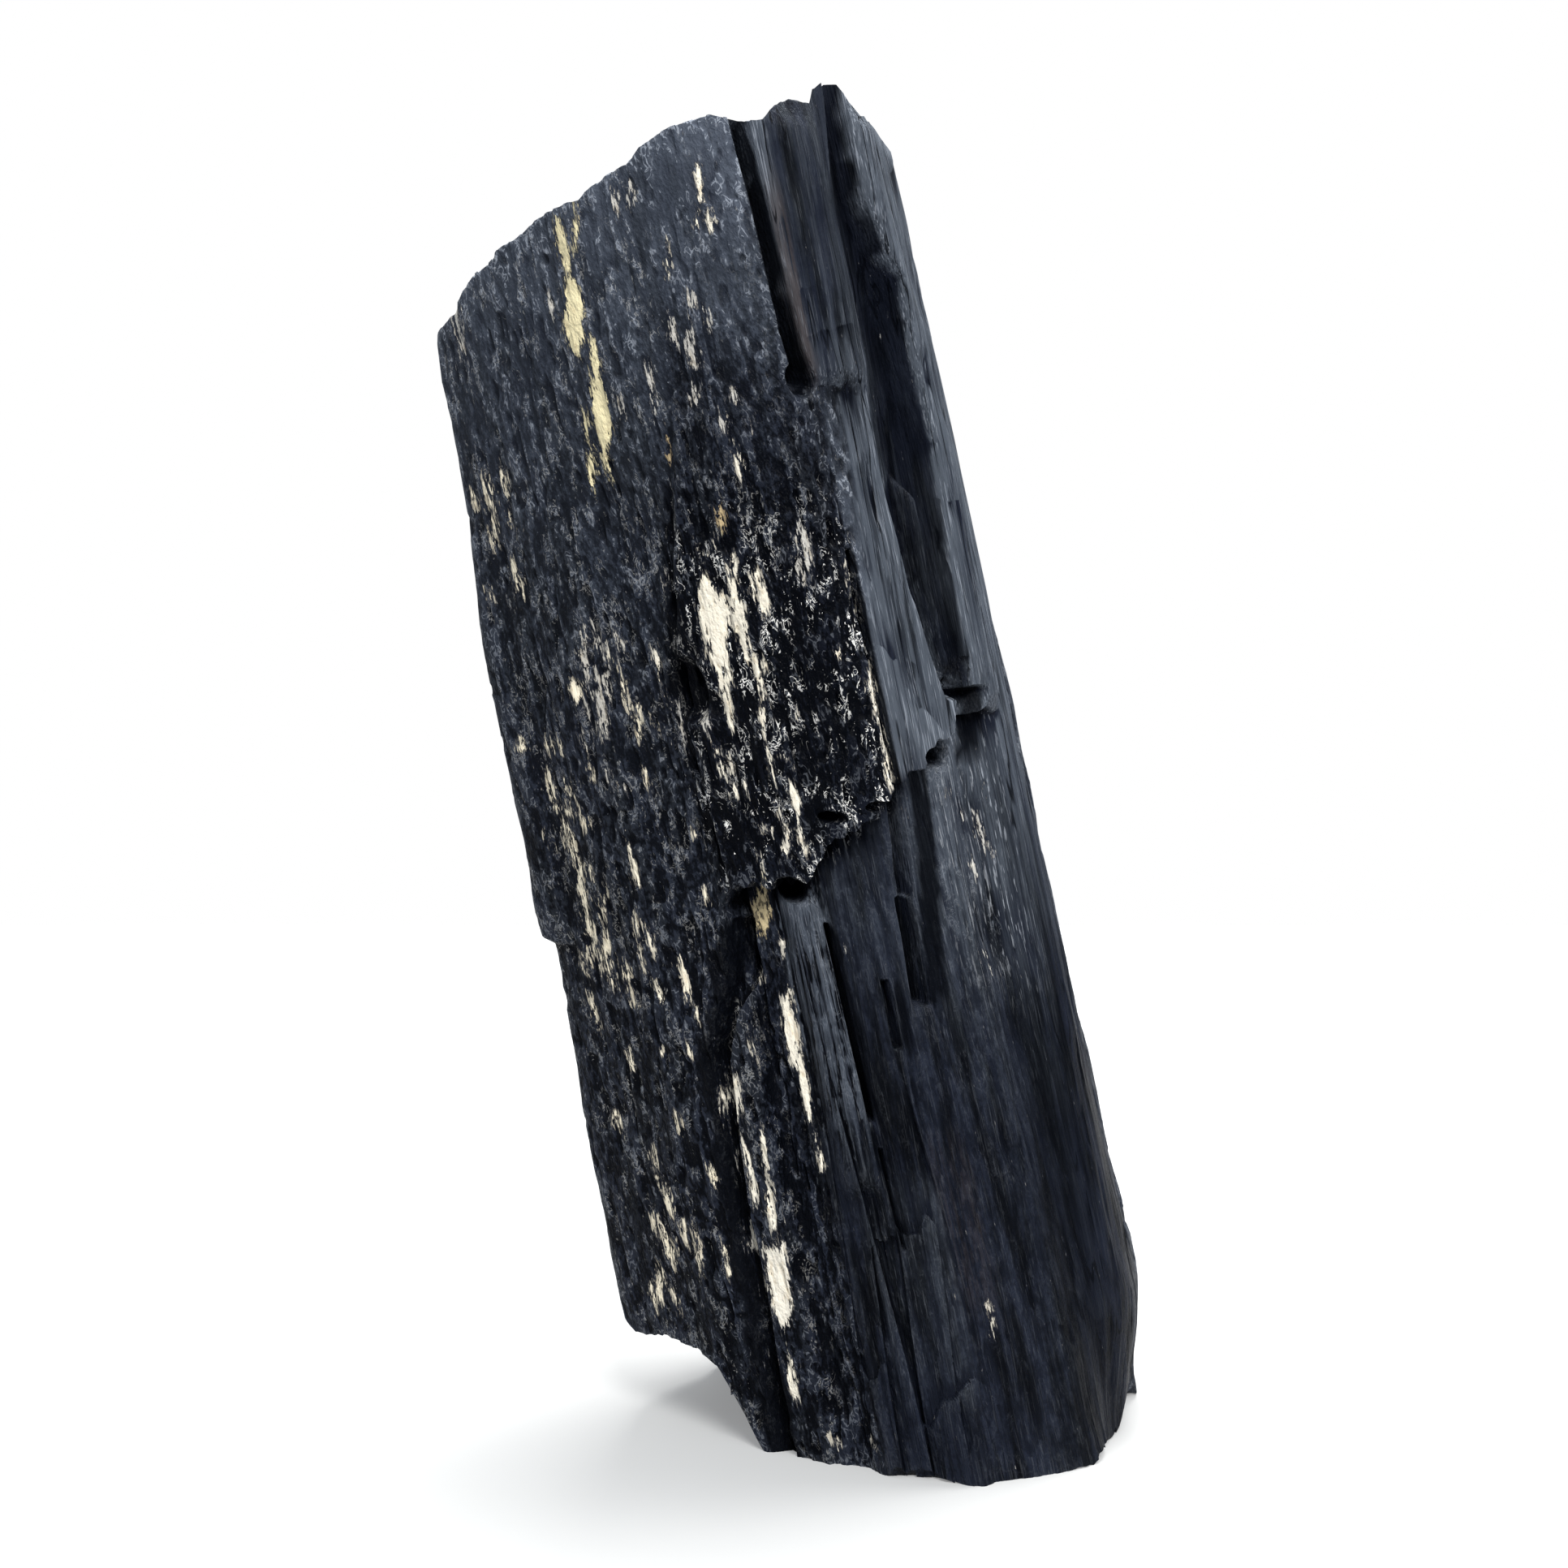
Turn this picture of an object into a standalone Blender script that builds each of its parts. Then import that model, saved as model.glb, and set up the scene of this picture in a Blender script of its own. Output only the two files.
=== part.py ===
"""A log of black tourmaline (schorl), broken at both ends and standing on its lower break.

The crystal is one solid, a closed loft: rings of points run up the long prism faces, and more rings
close the two broken ends. A Decimate modifier then keeps the triangles where the form bends, and a
Boolean cuts the flat face on which it rests.

Directions: p runs across the crystal to the right and q from front to back, both measured from the
crystal's leaning axis line, and z is the height above the ground. An angle about the axis line is 0
at the front and grows towards the right. All sizes are in millimetres until the loft is placed.
"""

import math

import bmesh
import bpy
import numpy as np

MM = 0.001
NAME = "tourmaline_crystal"

# Where the axis line meets the ground, and how far it leans for each millimetre of height.
AXIS_FOOT_X, AXIS_LEAN_X = 9.266, -0.2095
AXIS_FOOT_Y, AXIS_LEAN_Y = -5.91, 0.07

# Corners of the prism, as (p, q), at the ground and at the shoulder.
SHOULDER_Z = 105.0
FOOT_CORNERS = [
    (-22.3, 3.0), (-13.5, -5.5), (-8.0, -8.6), (-1.0, -12.0), (5.0, -14.9), (14.5, -9.8),
    (20.9, -1.0), (22.2, 8.0), (15.5, 18.5), (3.0, 21.0), (-11.0, 18.5), (-19.5, 10.5),
]
SHOULDER_CORNERS = [
    (-19.7, 2.0), (-12.0, -5.5), (-4.0, -12.0), (3.0, -15.0), (9.0, -15.0), (17.0, -9.5),
    (19.5, -2.0), (19.2, 7.0), (14.0, 16.0), (3.0, 18.5), (-10.0, 16.0), (-17.0, 9.5),
]
CORNER_ROUNDING = 0.035  # radians about the axis line

# Height of the broken top along its front rim, as (p, z), and its fall towards the back.
TOP_RIM = [
    (-19.8, 88.6), (-17.5, 90.4), (-16.4, 91.8), (-15.2, 93.1), (-13.6, 93.8), (-12.9, 94.6),
    (-10.6, 95.9), (-8.2, 97.3), (-5.3, 97.9), (-4.4, 98.6), (-2.9, 99.6), (-1.1, 100.4),
    (0.2, 101.7), (1.8, 102.6), (3.6, 103.3), (6.0, 104.0), (8.0, 103.6), (9.9, 103.6),
    (11.0, 104.7), (12.2, 105.3), (13.7, 105.0), (14.1, 106.1), (15.1, 106.8), (16.1, 106.7),
    (16.8, 105.5), (17.4, 104.4), (18.2, 104.3), (19.0, 103.2), (19.8, 102.3),
]
TOP_FALL_TO_BACK = 0.05

# Height of the broken underside along its front rim, as (p, z). Left of the overhang's edge, given
# as (q, p), the crystal broke away higher and stays clear of the ground all the way to the back.
FOOT_RIM = [
    (-22.3, 10.3), (-20.8, 8.6), (-19.7, 7.3), (-17.4, 7.6), (-15.2, 7.2), (-14.0, 6.4),
    (-13.4, 4.7), (-12.4, 2.0), (-10.1, 1.0), (-7.2, 0.4), (-4.0, 0.5), (-1.2, 1.7), (0.5, 1.1),
    (2.4, 0.4), (4.9, -0.3), (13.9, 0.1), (15.8, 1.2), (17.1, 2.2), (18.9, 5.0), (21.8, 8.5),
]
OVERHANG_EDGE = [(-6.0, -12.2), (9.0, -14.8), (15.0, -16.0)]
UNDERSIDE_Z = -0.8

# The lower lip of the thick front slab, as (p, z). Below it the front lies deeper.
LEDGE = [
    (-6.4, 43.6), (-5.2, 45.2), (-2.5, 46.0), (1.7, 46.6), (3.5, 49.5), (5.4, 49.9), (7.6, 51.4),
    (9.9, 53.4), (12.1, 55.1), (14.0, 56.5), (17.9, 58.4), (20.5, 58.2),
]
LEDGE_STEP = 3.0
LEDGE_STEP_AT_GROUND = 0.4
LEDGE_ENDS = (-6.6, 19.5)  # p

# The slab also stands proud of the left face, along this border, as (z, p).
SLAB_BORDER = [(44.0, -5.0), (51.0, -5.4), (61.0, -5.9), (70.0, -4.2), (84.0, -1.0)]
SLAB_STEP = 1.4

# The wide dark channel of the upper right front: its borders, as (z, p), and its depth, as (z, mm).
CHANNEL_FOOT_Z = 59.8
CHANNEL_LEFT = [
    (60.0, 15.0), (63.2, 14.5), (69.4, 13.8), (79.6, 13.4), (86.0, 14.0), (97.1, 13.9), (106.0, 14.8),
]
CHANNEL_RIGHT = [
    (60.0, 17.0), (63.0, 17.5), (69.1, 17.5), (79.4, 17.9), (86.0, 17.6), (92.0, 17.4), (99.0, 16.4),
    (106.0, 16.3),
]
CHANNEL_DEPTH = [(60.0, 2.8), (84.0, 2.6), (92.0, 2.2), (106.0, 1.8)]

# Long grooves and cracks of the front: route as (z, p), half width, depth.
GROOVES = {
    "upper groove": ([(84.2, 8.9), (86.7, 8.6), (91.0, 8.4), (97.0, 8.3), (106.0, 7.9)], 0.75, 2.6),
    "slab crack": ([(53.5, 9.8), (63.3, 9.8), (71.5, 9.8)], 0.4, 1.3),
    "ledge hole": ([(54.8, 15.6), (57.0, 16.2), (60.4, 17.0)], 1.1, 3.2),
    "lower slot": ([(45.0, 10.6), (49.0, 11.0), (54.5, 11.5)], 0.85, 3.2),
    "foot of the slot": ([(36.8, 9.5), (40.6, 9.9), (44.6, 10.2)], 0.95, 2.4),
    "rib crack": ([(28.0, 2.75), (38.0, 2.65), (42.6, 2.55)], 0.42, 2.2),
    "lens": ([(33.8, 6.5), (38.6, 6.6)], 0.5, 1.2),
    "long slit": ([(18.0, 3.3), (25.3, 3.1)], 0.3, 0.7),
    "left groove": (
        [
            (0.0, -10.2), (10.7, -9.8), (19.0, -9.7), (25.6, -9.2), (32.0, -8.6), (38.8, -6.2),
            (42.6, -5.4),
        ],
        0.95, 1.9,
    ),
}

# Raised ridges and ribs of the front: route as (z, p), half width, height.
RIDGES = {
    "right ridge": (
        [(59.0, 18.3), (66.0, 18.2), (77.4, 18.3), (88.6, 17.9), (97.7, 17.2), (104.5, 16.9)],
        0.8, 0.9,
    ),
    "channel ridge": ([(61.0, 16.7), (69.3, 16.2), (76.5, 16.6)], 0.35, 1.7),
    "fibrous rib": ([(22.0, 0.6), (36.0, 0.4), (45.6, 0.2)], 2.1, 1.2),
    "upper column": ([(84.0, 11.6), (104.5, 11.6)], 2.6, 0.8),
}

# Pits: centre as (p, z), half width, half height, depth.
PITS = {
    "arch": (-0.1, 45.6, 1.5, 1.2, 2.2),
    "oval": (4.4, 51.5, 1.15, 0.5, 1.6),
    "slot": (8.0, 52.3, 1.0, 0.45, 1.4),
    "three-cornered hole": (13.2, 55.6, 0.8, 0.8, 1.8),
    "slab pit": (-4.9, 60.8, 1.7, 2.8, 1.7),
    "scoop": (8.6, 84.4, 1.1, 1.4, 1.2),
}

# A splinter that stands proud along the left edge and ends in a notch, and the worn right foot.
EDGE_SPLINTER_Z = (38.7, 39.3, 62.0, 76.0)
EDGE_SPLINTER_P = (-18.6, -19.8)
EDGE_SPLINTER_HEIGHT = 0.9
WORN_FOOT_Z, WORN_FOOT_DEPTH = 12.0, 2.6
WORN_FOOT_P = (15.0, 19.5)

# Splinter panels around the whole crystal: count around, length, offset. The broad faces of the
# left, the right and the upper middle of the front are calmer, and so is the rim of the top.
PANELS = [(15, 46.0, 0.8), (34, 27.0, 0.4)]
RIB_COUNT, RIB_HEIGHT = 62, 0.28
CALM = 0.06
CALM_LEFT = (-1.75, -0.35)  # angles
CALM_RIGHT = (0.5, 2.0)
CALM_MIDDLE = (-0.45, 0.6)
CALM_MIDDLE_Z = (20.0, 32.0)
CALM_TOP_Z = (92.0, 100.0)

# Rings of the loft, and the share of its triangles that is kept.
RING_POINTS, SIDE_RINGS, END_RINGS = 200, 170, 20
FRONT_DENSITY = 0.3
KEPT_TRIANGLES = 0.108

# The block that cuts the flat, in metres.
GROUND_BLOCK = (0.12, 0.12, 0.02)

BLACK = (0.012, 0.013, 0.016, 1.0)
ROUGHNESS = 0.45


def smoothstep(low, high, value):
    """0 at low, 1 at high, smooth between them; low may be the larger one."""
    t = np.clip((value - low) / (high - low), 0.0, 1.0)
    return t * t * (3.0 - 2.0 * t)


def read_off(value, route):
    """The second coordinate of a route of points where the first one is the value."""
    return np.interp(value, [point[0] for point in route], [point[1] for point in route])


def scatter(i, j, k, seed):
    """A repeatable number from 0 to 1 for each cell (i, j, k)."""
    mixed = (
        i.astype(np.int64) * 73856093 + j.astype(np.int64) * 19349663
        + k.astype(np.int64) * 83492791 + seed * 2654435761
    ) & 0xFFFFFFFF
    mixed = ((mixed ^ (mixed >> 15)) * 2246822519) & 0xFFFFFFFF
    mixed = ((mixed ^ (mixed >> 13)) * 3266489917) & 0xFFFFFFFF
    return (mixed ^ (mixed >> 16)) / 4294967295.0


def noise(x, y, z, seed):
    """Smooth noise from -1 to 1 with a wavelength of one unit."""
    cells = [np.floor(value) for value in (x, y, z)]
    weights = [smoothstep(0.0, 1.0, value - cell) for value, cell in zip((x, y, z), cells)]
    total = np.zeros_like(x)
    for corner in range(8):
        bits = [(corner >> axis) & 1 for axis in range(3)]
        weight = np.ones_like(x)
        for bit, part in zip(bits, weights):
            weight = weight * (part if bit else 1.0 - part)
        total += weight * scatter(cells[0] + bits[0], cells[1] + bits[1], cells[2] + bits[2], seed)
    return 2.0 * total - 1.0


def prism_radius(angle, z):
    """Distance from the axis line to the flat prism faces, in the direction of the angle."""
    blend = np.clip(z / SHOULDER_Z, 0.0, 1.05)
    nearly_zero = 1e-9
    ray_p, ray_q = np.sin(angle), -np.cos(angle)
    radius = np.zeros_like(angle)
    corners = list(zip(FOOT_CORNERS, SHOULDER_CORNERS))
    for (foot_a, head_a), (foot_b, head_b) in zip(corners, corners[1:] + corners[:1]):
        a_p, a_q = (foot_a[i] + (head_a[i] - foot_a[i]) * blend for i in range(2))
        b_p, b_q = (foot_b[i] + (head_b[i] - foot_b[i]) * blend for i in range(2))
        facing = (a_p * ray_q - a_q * ray_p >= 0.0) & (ray_p * b_q - ray_q * b_p >= 0.0)
        along = ray_p * (b_q - a_q) - ray_q * (b_p - a_p)
        reach = (a_p * b_q - a_q * b_p) / np.where(np.abs(along) < nearly_zero, nearly_zero, along)
        radius = np.where(facing, reach, radius)
    return radius


def rounded_prism_radius(angle, z):
    """The prism with its corners rounded, as a weighted mean over nearby angles."""
    shares = {-1.0: 0.12, -0.5: 0.23, 0.0: 0.3, 0.5: 0.23, 1.0: 0.12}
    radii = [share * prism_radius(angle + turn * CORNER_ROUNDING, z) for turn, share in shares.items()]
    return sum(radii)


def beside(p, z, route):
    """Distance across a route of (z, p) points, and how far past its ends a point lies."""
    return p - read_off(z, route), np.maximum(route[0][0] - z, z - route[-1][0])


def between(low, high, margin, value):
    """1 between the two limits, 0 further outside them than the margin."""
    return smoothstep(low - margin, low, value) * smoothstep(high + margin, high, value)


def below_ledge(p, z):
    """1 where the front lies below the slab's lower lip."""
    left, right = LEDGE_ENDS
    ends = smoothstep(left, left + 1.2, p) * smoothstep(right, right - 3.0, p)
    return smoothstep(0.25, -0.25, z - read_off(p, LEDGE)) * ends


def in_channel(p, z):
    """1 inside the wide channel of the upper right front."""
    left = p - read_off(z, CHANNEL_LEFT)
    right = read_off(z, CHANNEL_RIGHT) - p
    above = smoothstep(CHANNEL_FOOT_Z, CHANNEL_FOOT_Z + 1.0, z)
    return smoothstep(0.0, 0.55, left) * smoothstep(0.0, 0.35, right) * above


def hollows(p, z):
    """Depth of the front's channel, grooves, cracks and pits."""
    depth = read_off(z, CHANNEL_DEPTH) * in_channel(p, z)
    for route, half_width, most in GROOVES.values():
        across, beyond = beside(p, z, route)
        depth += most * smoothstep(1.0, 0.45, np.abs(across) / half_width) * smoothstep(0.6, -0.2, beyond)
    for centre_p, centre_z, half_width, half_height, most in PITS.values():
        out = np.hypot((p - centre_p) / half_width, (z - centre_z) / half_height)
        depth += most * smoothstep(1.05, 0.5, out)
    return depth


def front_relief(p, z):
    """Height of the front's named forms over the prism faces; negative is inwards."""
    step = read_off(z, [(0.0, LEDGE_STEP_AT_GROUND), (46.0, LEDGE_STEP)])
    relief = -step * below_ledge(p, z) - hollows(p, z)
    left_of_slab = smoothstep(0.5, -0.5, p - read_off(z, SLAB_BORDER)) * smoothstep(-15.0, -7.0, p)
    relief -= SLAB_STEP * left_of_slab * smoothstep(84.0, 70.0, z) * smoothstep(26.0, 50.0, z)
    for route, half_width, height in RIDGES.values():
        across, beyond = beside(p, z, route)
        crown = np.clip(1.0 - (across / half_width) ** 2, 0.0, 1.0)
        relief += height * crown * smoothstep(0.8, -1.5, beyond)
    return relief


def edge_relief(p, z):
    """The proud splinter of the left edge, and the right side worn back at its foot."""
    low, full, high, gone = EDGE_SPLINTER_Z
    splinter = smoothstep(low, full, z) * smoothstep(gone, high, z)
    splinter = splinter * smoothstep(*EDGE_SPLINTER_P, p)
    worn = smoothstep(WORN_FOOT_Z, 0.0, z) * smoothstep(*WORN_FOOT_P, p)
    return EDGE_SPLINTER_HEIGHT * splinter - WORN_FOOT_DEPTH * worn


def calm_zones(angle, z):
    """1 on the faces that splinter less."""
    middle = between(*CALM_MIDDLE, 0.2, angle) * smoothstep(*CALM_MIDDLE_Z, z)
    sides = np.maximum(between(*CALM_LEFT, 0.2, angle), between(*CALM_RIGHT, 0.2, angle))
    return np.maximum(np.maximum(sides, middle), smoothstep(*CALM_TOP_Z, z))


def splinter_relief(angle, z):
    """Long splinters side by side: each panel lies a little higher or lower than the next."""
    still = np.zeros_like(angle)
    turn = angle / math.tau
    relief = np.zeros_like(angle)
    for level, (count, length, offset) in enumerate(PANELS):
        wander = 0.35 * noise(z / length, still, still + level, 11 + level)
        column = np.floor(turn * count + wander) % count
        shift = 5.0 * scatter(column, still, still, 21 + level)
        ragged = 0.05 * noise(turn * count * 3.0, still, still, 25 + level)
        row = np.floor(z / length + shift + ragged)
        relief += offset * (2.0 * scatter(column, row, still, 31 + level) - 1.0)
    rib = turn * RIB_COUNT + 0.3 * noise(z / 30.0, still, still, 41)
    number = np.floor(rib)
    height = RIB_HEIGHT * (0.3 + 0.7 * scatter(number % RIB_COUNT, still, still, 42))
    relief += height * (1.0 - (2.0 * (rib - number) - 1.0) ** 2)
    return relief * (1.0 - (1.0 - CALM) * calm_zones(angle, z))


def side_radius(angle, z):
    """Distance from the axis line to the crystal's side."""
    angle = (angle + math.pi) % math.tau - math.pi
    prism = rounded_prism_radius(angle, z)
    p, q = prism * np.sin(angle), -prism * np.cos(angle)
    front = smoothstep(3.0, -1.0, q)
    grain = 0.16 * noise(p / 2.1, q / 2.1, z / 4.2, 51)
    grain = grain + 0.3 * noise(p / 7.0, q / 7.0, z / 19.0, 52)
    named = front * front_relief(p, z) + edge_relief(p, z)
    return prism + named + splinter_relief(angle, z) + grain


def top_height(p, q):
    """Height of the broken top over a point of the section."""
    still = np.zeros_like(p)
    inner = smoothstep(-8.0, 3.0, q) * smoothstep(-19.5, -13.0, p) * smoothstep(19.0, 15.0, p)
    stumps = scatter(np.floor(p / 4.3), np.floor(q / 4.9), still, 61) - 0.6
    lumps = 0.8 * noise(p / 4.8, q / 4.8, still, 62) + 0.35 * noise(p / 2.6, q / 2.6, still, 63)
    fall = TOP_FALL_TO_BACK * np.maximum(q + 12.0, 0.0)
    return read_off(p, TOP_RIM) - fall + inner * (1.3 * stumps + lumps)


def underside_height(p, q):
    """Height of the broken underside; where it is below the ground it is cut flat."""
    still = np.zeros_like(p)
    rim = smoothstep(0.76, 0.92, np.hypot(p / 21.5, (q - 3.0) / 18.0))
    ragged = UNDERSIDE_Z + 0.6 + 0.8 * noise(p / 2.9, q / 2.9, still, 71)
    front_rim = read_off(p, FOOT_RIM)
    edge_z = ragged + (front_rim - ragged) * smoothstep(8.0, 2.0, q)
    ground = UNDERSIDE_Z + (edge_z - UNDERSIDE_Z) * rim
    lumps = 0.5 * noise(p / 2.3, q / 2.3, still, 72)
    front_edge = OVERHANG_EDGE[0][1]
    shift = read_off(q, OVERHANG_EDGE) - front_edge
    overhang = read_off(p - shift, FOOT_RIM) + lumps * smoothstep(-6.0, 2.0, q)
    return ground + (overhang - ground) * smoothstep(1.0, -0.5, p - shift - front_edge)


def place(p, q, z):
    """A point of the crystal in the part's own frame, in metres."""
    x = AXIS_FOOT_X + AXIS_LEAN_X * z + p
    y = AXIS_FOOT_Y + AXIS_LEAN_Y * z + q
    return np.column_stack([x, y, z]) * MM


def ring_angles():
    """The directions of a ring's points, closer together at the front."""
    turn = (np.arange(RING_POINTS) / RING_POINTS - 0.5) * math.tau
    return turn - FRONT_DENSITY * np.sin(turn)


def loft_points():
    """The rings from the middle of the underside, up the sides, to the middle of the top."""
    angle = ring_angles()
    low, high = np.zeros_like(angle), np.full_like(angle, SHOULDER_Z)
    for _ in range(3):
        low_rim, high_rim = side_radius(angle, low), side_radius(angle, high)
        low = underside_height(low_rim * np.sin(angle), -low_rim * np.cos(angle))
        high = top_height(high_rim * np.sin(angle), -high_rim * np.cos(angle))

    rings = []
    for ring in range(1, END_RINGS):
        radius = side_radius(angle, low) * ring / END_RINGS
        p, q = radius * np.sin(angle), -radius * np.cos(angle)
        rings.append(place(p, q, underside_height(p, q)))
    for ring in range(SIDE_RINGS + 1):
        z = low + (high - low) * ring / SIDE_RINGS
        radius = side_radius(angle, z)
        rings.append(place(radius * np.sin(angle), -radius * np.cos(angle), z))
    for ring in range(END_RINGS - 1, 0, -1):
        radius = side_radius(angle, high) * ring / END_RINGS
        p, q = radius * np.sin(angle), -radius * np.cos(angle)
        rings.append(place(p, q, top_height(p, q)))

    middle = np.zeros(1)
    bottom = place(middle, middle, underside_height(middle, middle))
    top = place(middle, middle, top_height(middle, middle))
    return np.concatenate([bottom, *rings, top]), len(rings)


def loft_faces(ring_count):
    """Quads between neighbouring rings, and a fan of triangles at each end."""
    first = 1 + RING_POINTS * np.arange(ring_count)
    here = np.arange(RING_POINTS)
    after = (here + 1) % RING_POINTS
    faces = [(0, 1 + b, 1 + a) for a, b in zip(here, after)]
    for low, high in zip(first, first[1:]):
        faces += [(low + a, low + b, high + b, high + a) for a, b in zip(here, after)]
    peak = first[-1] + RING_POINTS
    return faces + [(first[-1] + a, first[-1] + b, peak) for a, b in zip(here, after)]


def schorl_material():
    material = bpy.data.materials.new("schorl")
    material.use_nodes = True
    shader = material.node_tree.nodes["Principled BSDF"]
    shader.inputs["Base Color"].default_value = BLACK
    shader.inputs["Roughness"].default_value = ROUGHNESS
    shader.inputs["Metallic"].default_value = 0.0
    material.diffuse_color = BLACK
    return material


def make_crystal(collection):
    """The whole crystal, before the flat is cut under it."""
    points, ring_count = loft_points()
    mesh = bpy.data.meshes.new(NAME)
    mesh.from_pydata(points.tolist(), [], loft_faces(ring_count))
    mesh.materials.append(schorl_material())
    crystal = bpy.data.objects.new(NAME, mesh)
    collection.objects.link(crystal)
    budget = crystal.modifiers.new("triangle budget", "DECIMATE")
    budget.ratio = KEPT_TRIANGLES
    return crystal


def cut_flat(crystal, cutters):
    """Cut the underside level, so that the crystal rests on a flat."""
    mesh = bpy.data.meshes.new("ground_cut")
    block = bmesh.new()
    bmesh.ops.create_cube(block, size=1.0)
    bmesh.ops.scale(block, vec=GROUND_BLOCK, verts=block.verts)
    block.to_mesh(mesh)
    block.free()
    cutter = bpy.data.objects.new("ground_cut", mesh)
    cutter.location = (0.0, 0.0, -GROUND_BLOCK[2] / 2.0)
    cutter.hide_render = True
    cutter.display_type = "WIRE"
    cutters.objects.link(cutter)
    cut = crystal.modifiers.new("flat to rest on", "BOOLEAN")
    cut.operation = "DIFFERENCE"
    cut.object = cutter


def main():
    for obj in list(bpy.data.objects):
        bpy.data.objects.remove(obj, do_unlink=True)
    collection = bpy.data.collections.new(NAME)
    cutters = bpy.data.collections.new("cutters")
    for group in (collection, cutters):
        bpy.context.scene.collection.children.link(group)
    cut_flat(make_crystal(collection), cutters)


main()
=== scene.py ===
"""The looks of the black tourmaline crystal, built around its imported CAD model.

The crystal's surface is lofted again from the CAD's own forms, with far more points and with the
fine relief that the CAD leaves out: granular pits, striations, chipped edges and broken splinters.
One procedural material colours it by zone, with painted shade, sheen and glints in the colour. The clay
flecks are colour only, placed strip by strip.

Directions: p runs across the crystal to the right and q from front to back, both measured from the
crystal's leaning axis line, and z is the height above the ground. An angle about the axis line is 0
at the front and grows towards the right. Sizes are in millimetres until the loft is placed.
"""

import math

import bpy
import numpy as np
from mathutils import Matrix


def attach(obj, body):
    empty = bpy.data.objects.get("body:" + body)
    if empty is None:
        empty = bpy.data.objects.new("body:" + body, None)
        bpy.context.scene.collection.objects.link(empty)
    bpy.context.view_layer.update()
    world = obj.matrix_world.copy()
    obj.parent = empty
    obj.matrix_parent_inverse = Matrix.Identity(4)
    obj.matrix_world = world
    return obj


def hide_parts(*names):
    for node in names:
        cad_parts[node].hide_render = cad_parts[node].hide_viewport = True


MM = 0.001
NODE = "tourmaline_crystal"

# ------------ the CAD's forms, in millimetres

# Where the axis line meets the ground, and how far it leans for each millimetre of height.
AXIS_FOOT_X, AXIS_LEAN_X = 9.266, -0.2095
AXIS_FOOT_Y, AXIS_LEAN_Y = -5.91, 0.07

# Corners of the prism, as (p, q), at the ground and at the shoulder.
SHOULDER_Z = 105.0
FOOT_CORNERS = [
    (-22.3, 3.0), (-13.5, -5.5), (-8.0, -8.6), (-1.0, -12.0), (5.0, -14.9), (14.5, -9.8),
    (20.9, -1.0), (22.2, 8.0), (15.5, 18.5), (3.0, 21.0), (-11.0, 18.5), (-19.5, 10.5),
]
SHOULDER_CORNERS = [
    (-19.7, 2.0), (-12.0, -5.5), (-4.0, -12.0), (3.0, -15.0), (9.0, -15.0), (17.0, -9.5),
    (19.5, -2.0), (19.2, 7.0), (14.0, 16.0), (3.0, 18.5), (-10.0, 16.0), (-17.0, 9.5),
]
CORNER_ROUNDING = 0.035  # radians about the axis line

# Height of the broken top along its front rim, as (p, z), and its fall towards the back.
TOP_RIM = [
    (-19.8, 88.6), (-17.5, 90.4), (-16.4, 91.8), (-15.2, 93.1), (-13.6, 93.8), (-12.9, 94.6),
    (-10.6, 95.9), (-8.2, 97.3), (-5.3, 97.9), (-4.4, 98.6), (-2.9, 99.6), (-1.1, 100.4),
    (0.2, 101.7), (1.8, 102.6), (3.6, 103.3), (6.0, 104.0), (8.0, 103.6), (9.9, 103.6),
    (11.0, 104.7), (12.2, 105.3), (13.7, 105.0), (14.1, 106.1), (15.1, 106.8), (16.1, 106.7),
    (16.8, 105.5), (17.4, 104.4), (18.2, 104.3), (19.0, 103.2), (19.8, 102.3),
]
TOP_FALL_TO_BACK = 0.05

# Height of the broken underside along its front rim, as (p, z). Left of the overhang's edge, given
# as (q, p), the crystal broke away higher and stays clear of the ground all the way to the back.
FOOT_RIM = [
    (-22.3, 10.3), (-20.8, 8.6), (-19.7, 7.3), (-17.4, 7.6), (-15.2, 7.2), (-14.0, 6.4),
    (-13.4, 4.7), (-12.4, 2.0), (-10.1, 1.0), (-7.2, 0.4), (-4.0, 0.5), (-1.2, 1.7), (0.5, 1.1),
    (2.4, 0.4), (4.9, -0.3), (13.9, 0.1), (15.8, 1.2), (17.1, 2.2), (18.9, 5.0), (21.8, 8.5),
]
OVERHANG_EDGE = [(-6.0, -12.2), (9.0, -14.8), (15.0, -16.0)]
UNDERSIDE_Z = -0.8

# The lower lip of the thick front slab, as (p, z). Below it the front lies deeper.
LEDGE = [
    (-6.4, 43.6), (-5.2, 45.2), (-2.5, 46.0), (1.7, 46.6), (3.5, 49.5), (5.4, 49.9), (7.6, 51.4),
    (9.9, 53.4), (12.1, 55.1), (14.0, 56.5), (17.9, 58.4), (20.5, 58.2),
]
LEDGE_STEP = 3.0
LEDGE_STEP_AT_GROUND = 0.4
LEDGE_ENDS = (-6.6, 19.5)  # p

# The slab also stands proud of the left face, along this border, as (z, p).
SLAB_BORDER = [(44.0, -5.0), (51.0, -5.4), (61.0, -5.9), (70.0, -4.2), (84.0, -1.0)]
SLAB_STEP = 1.4

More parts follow.
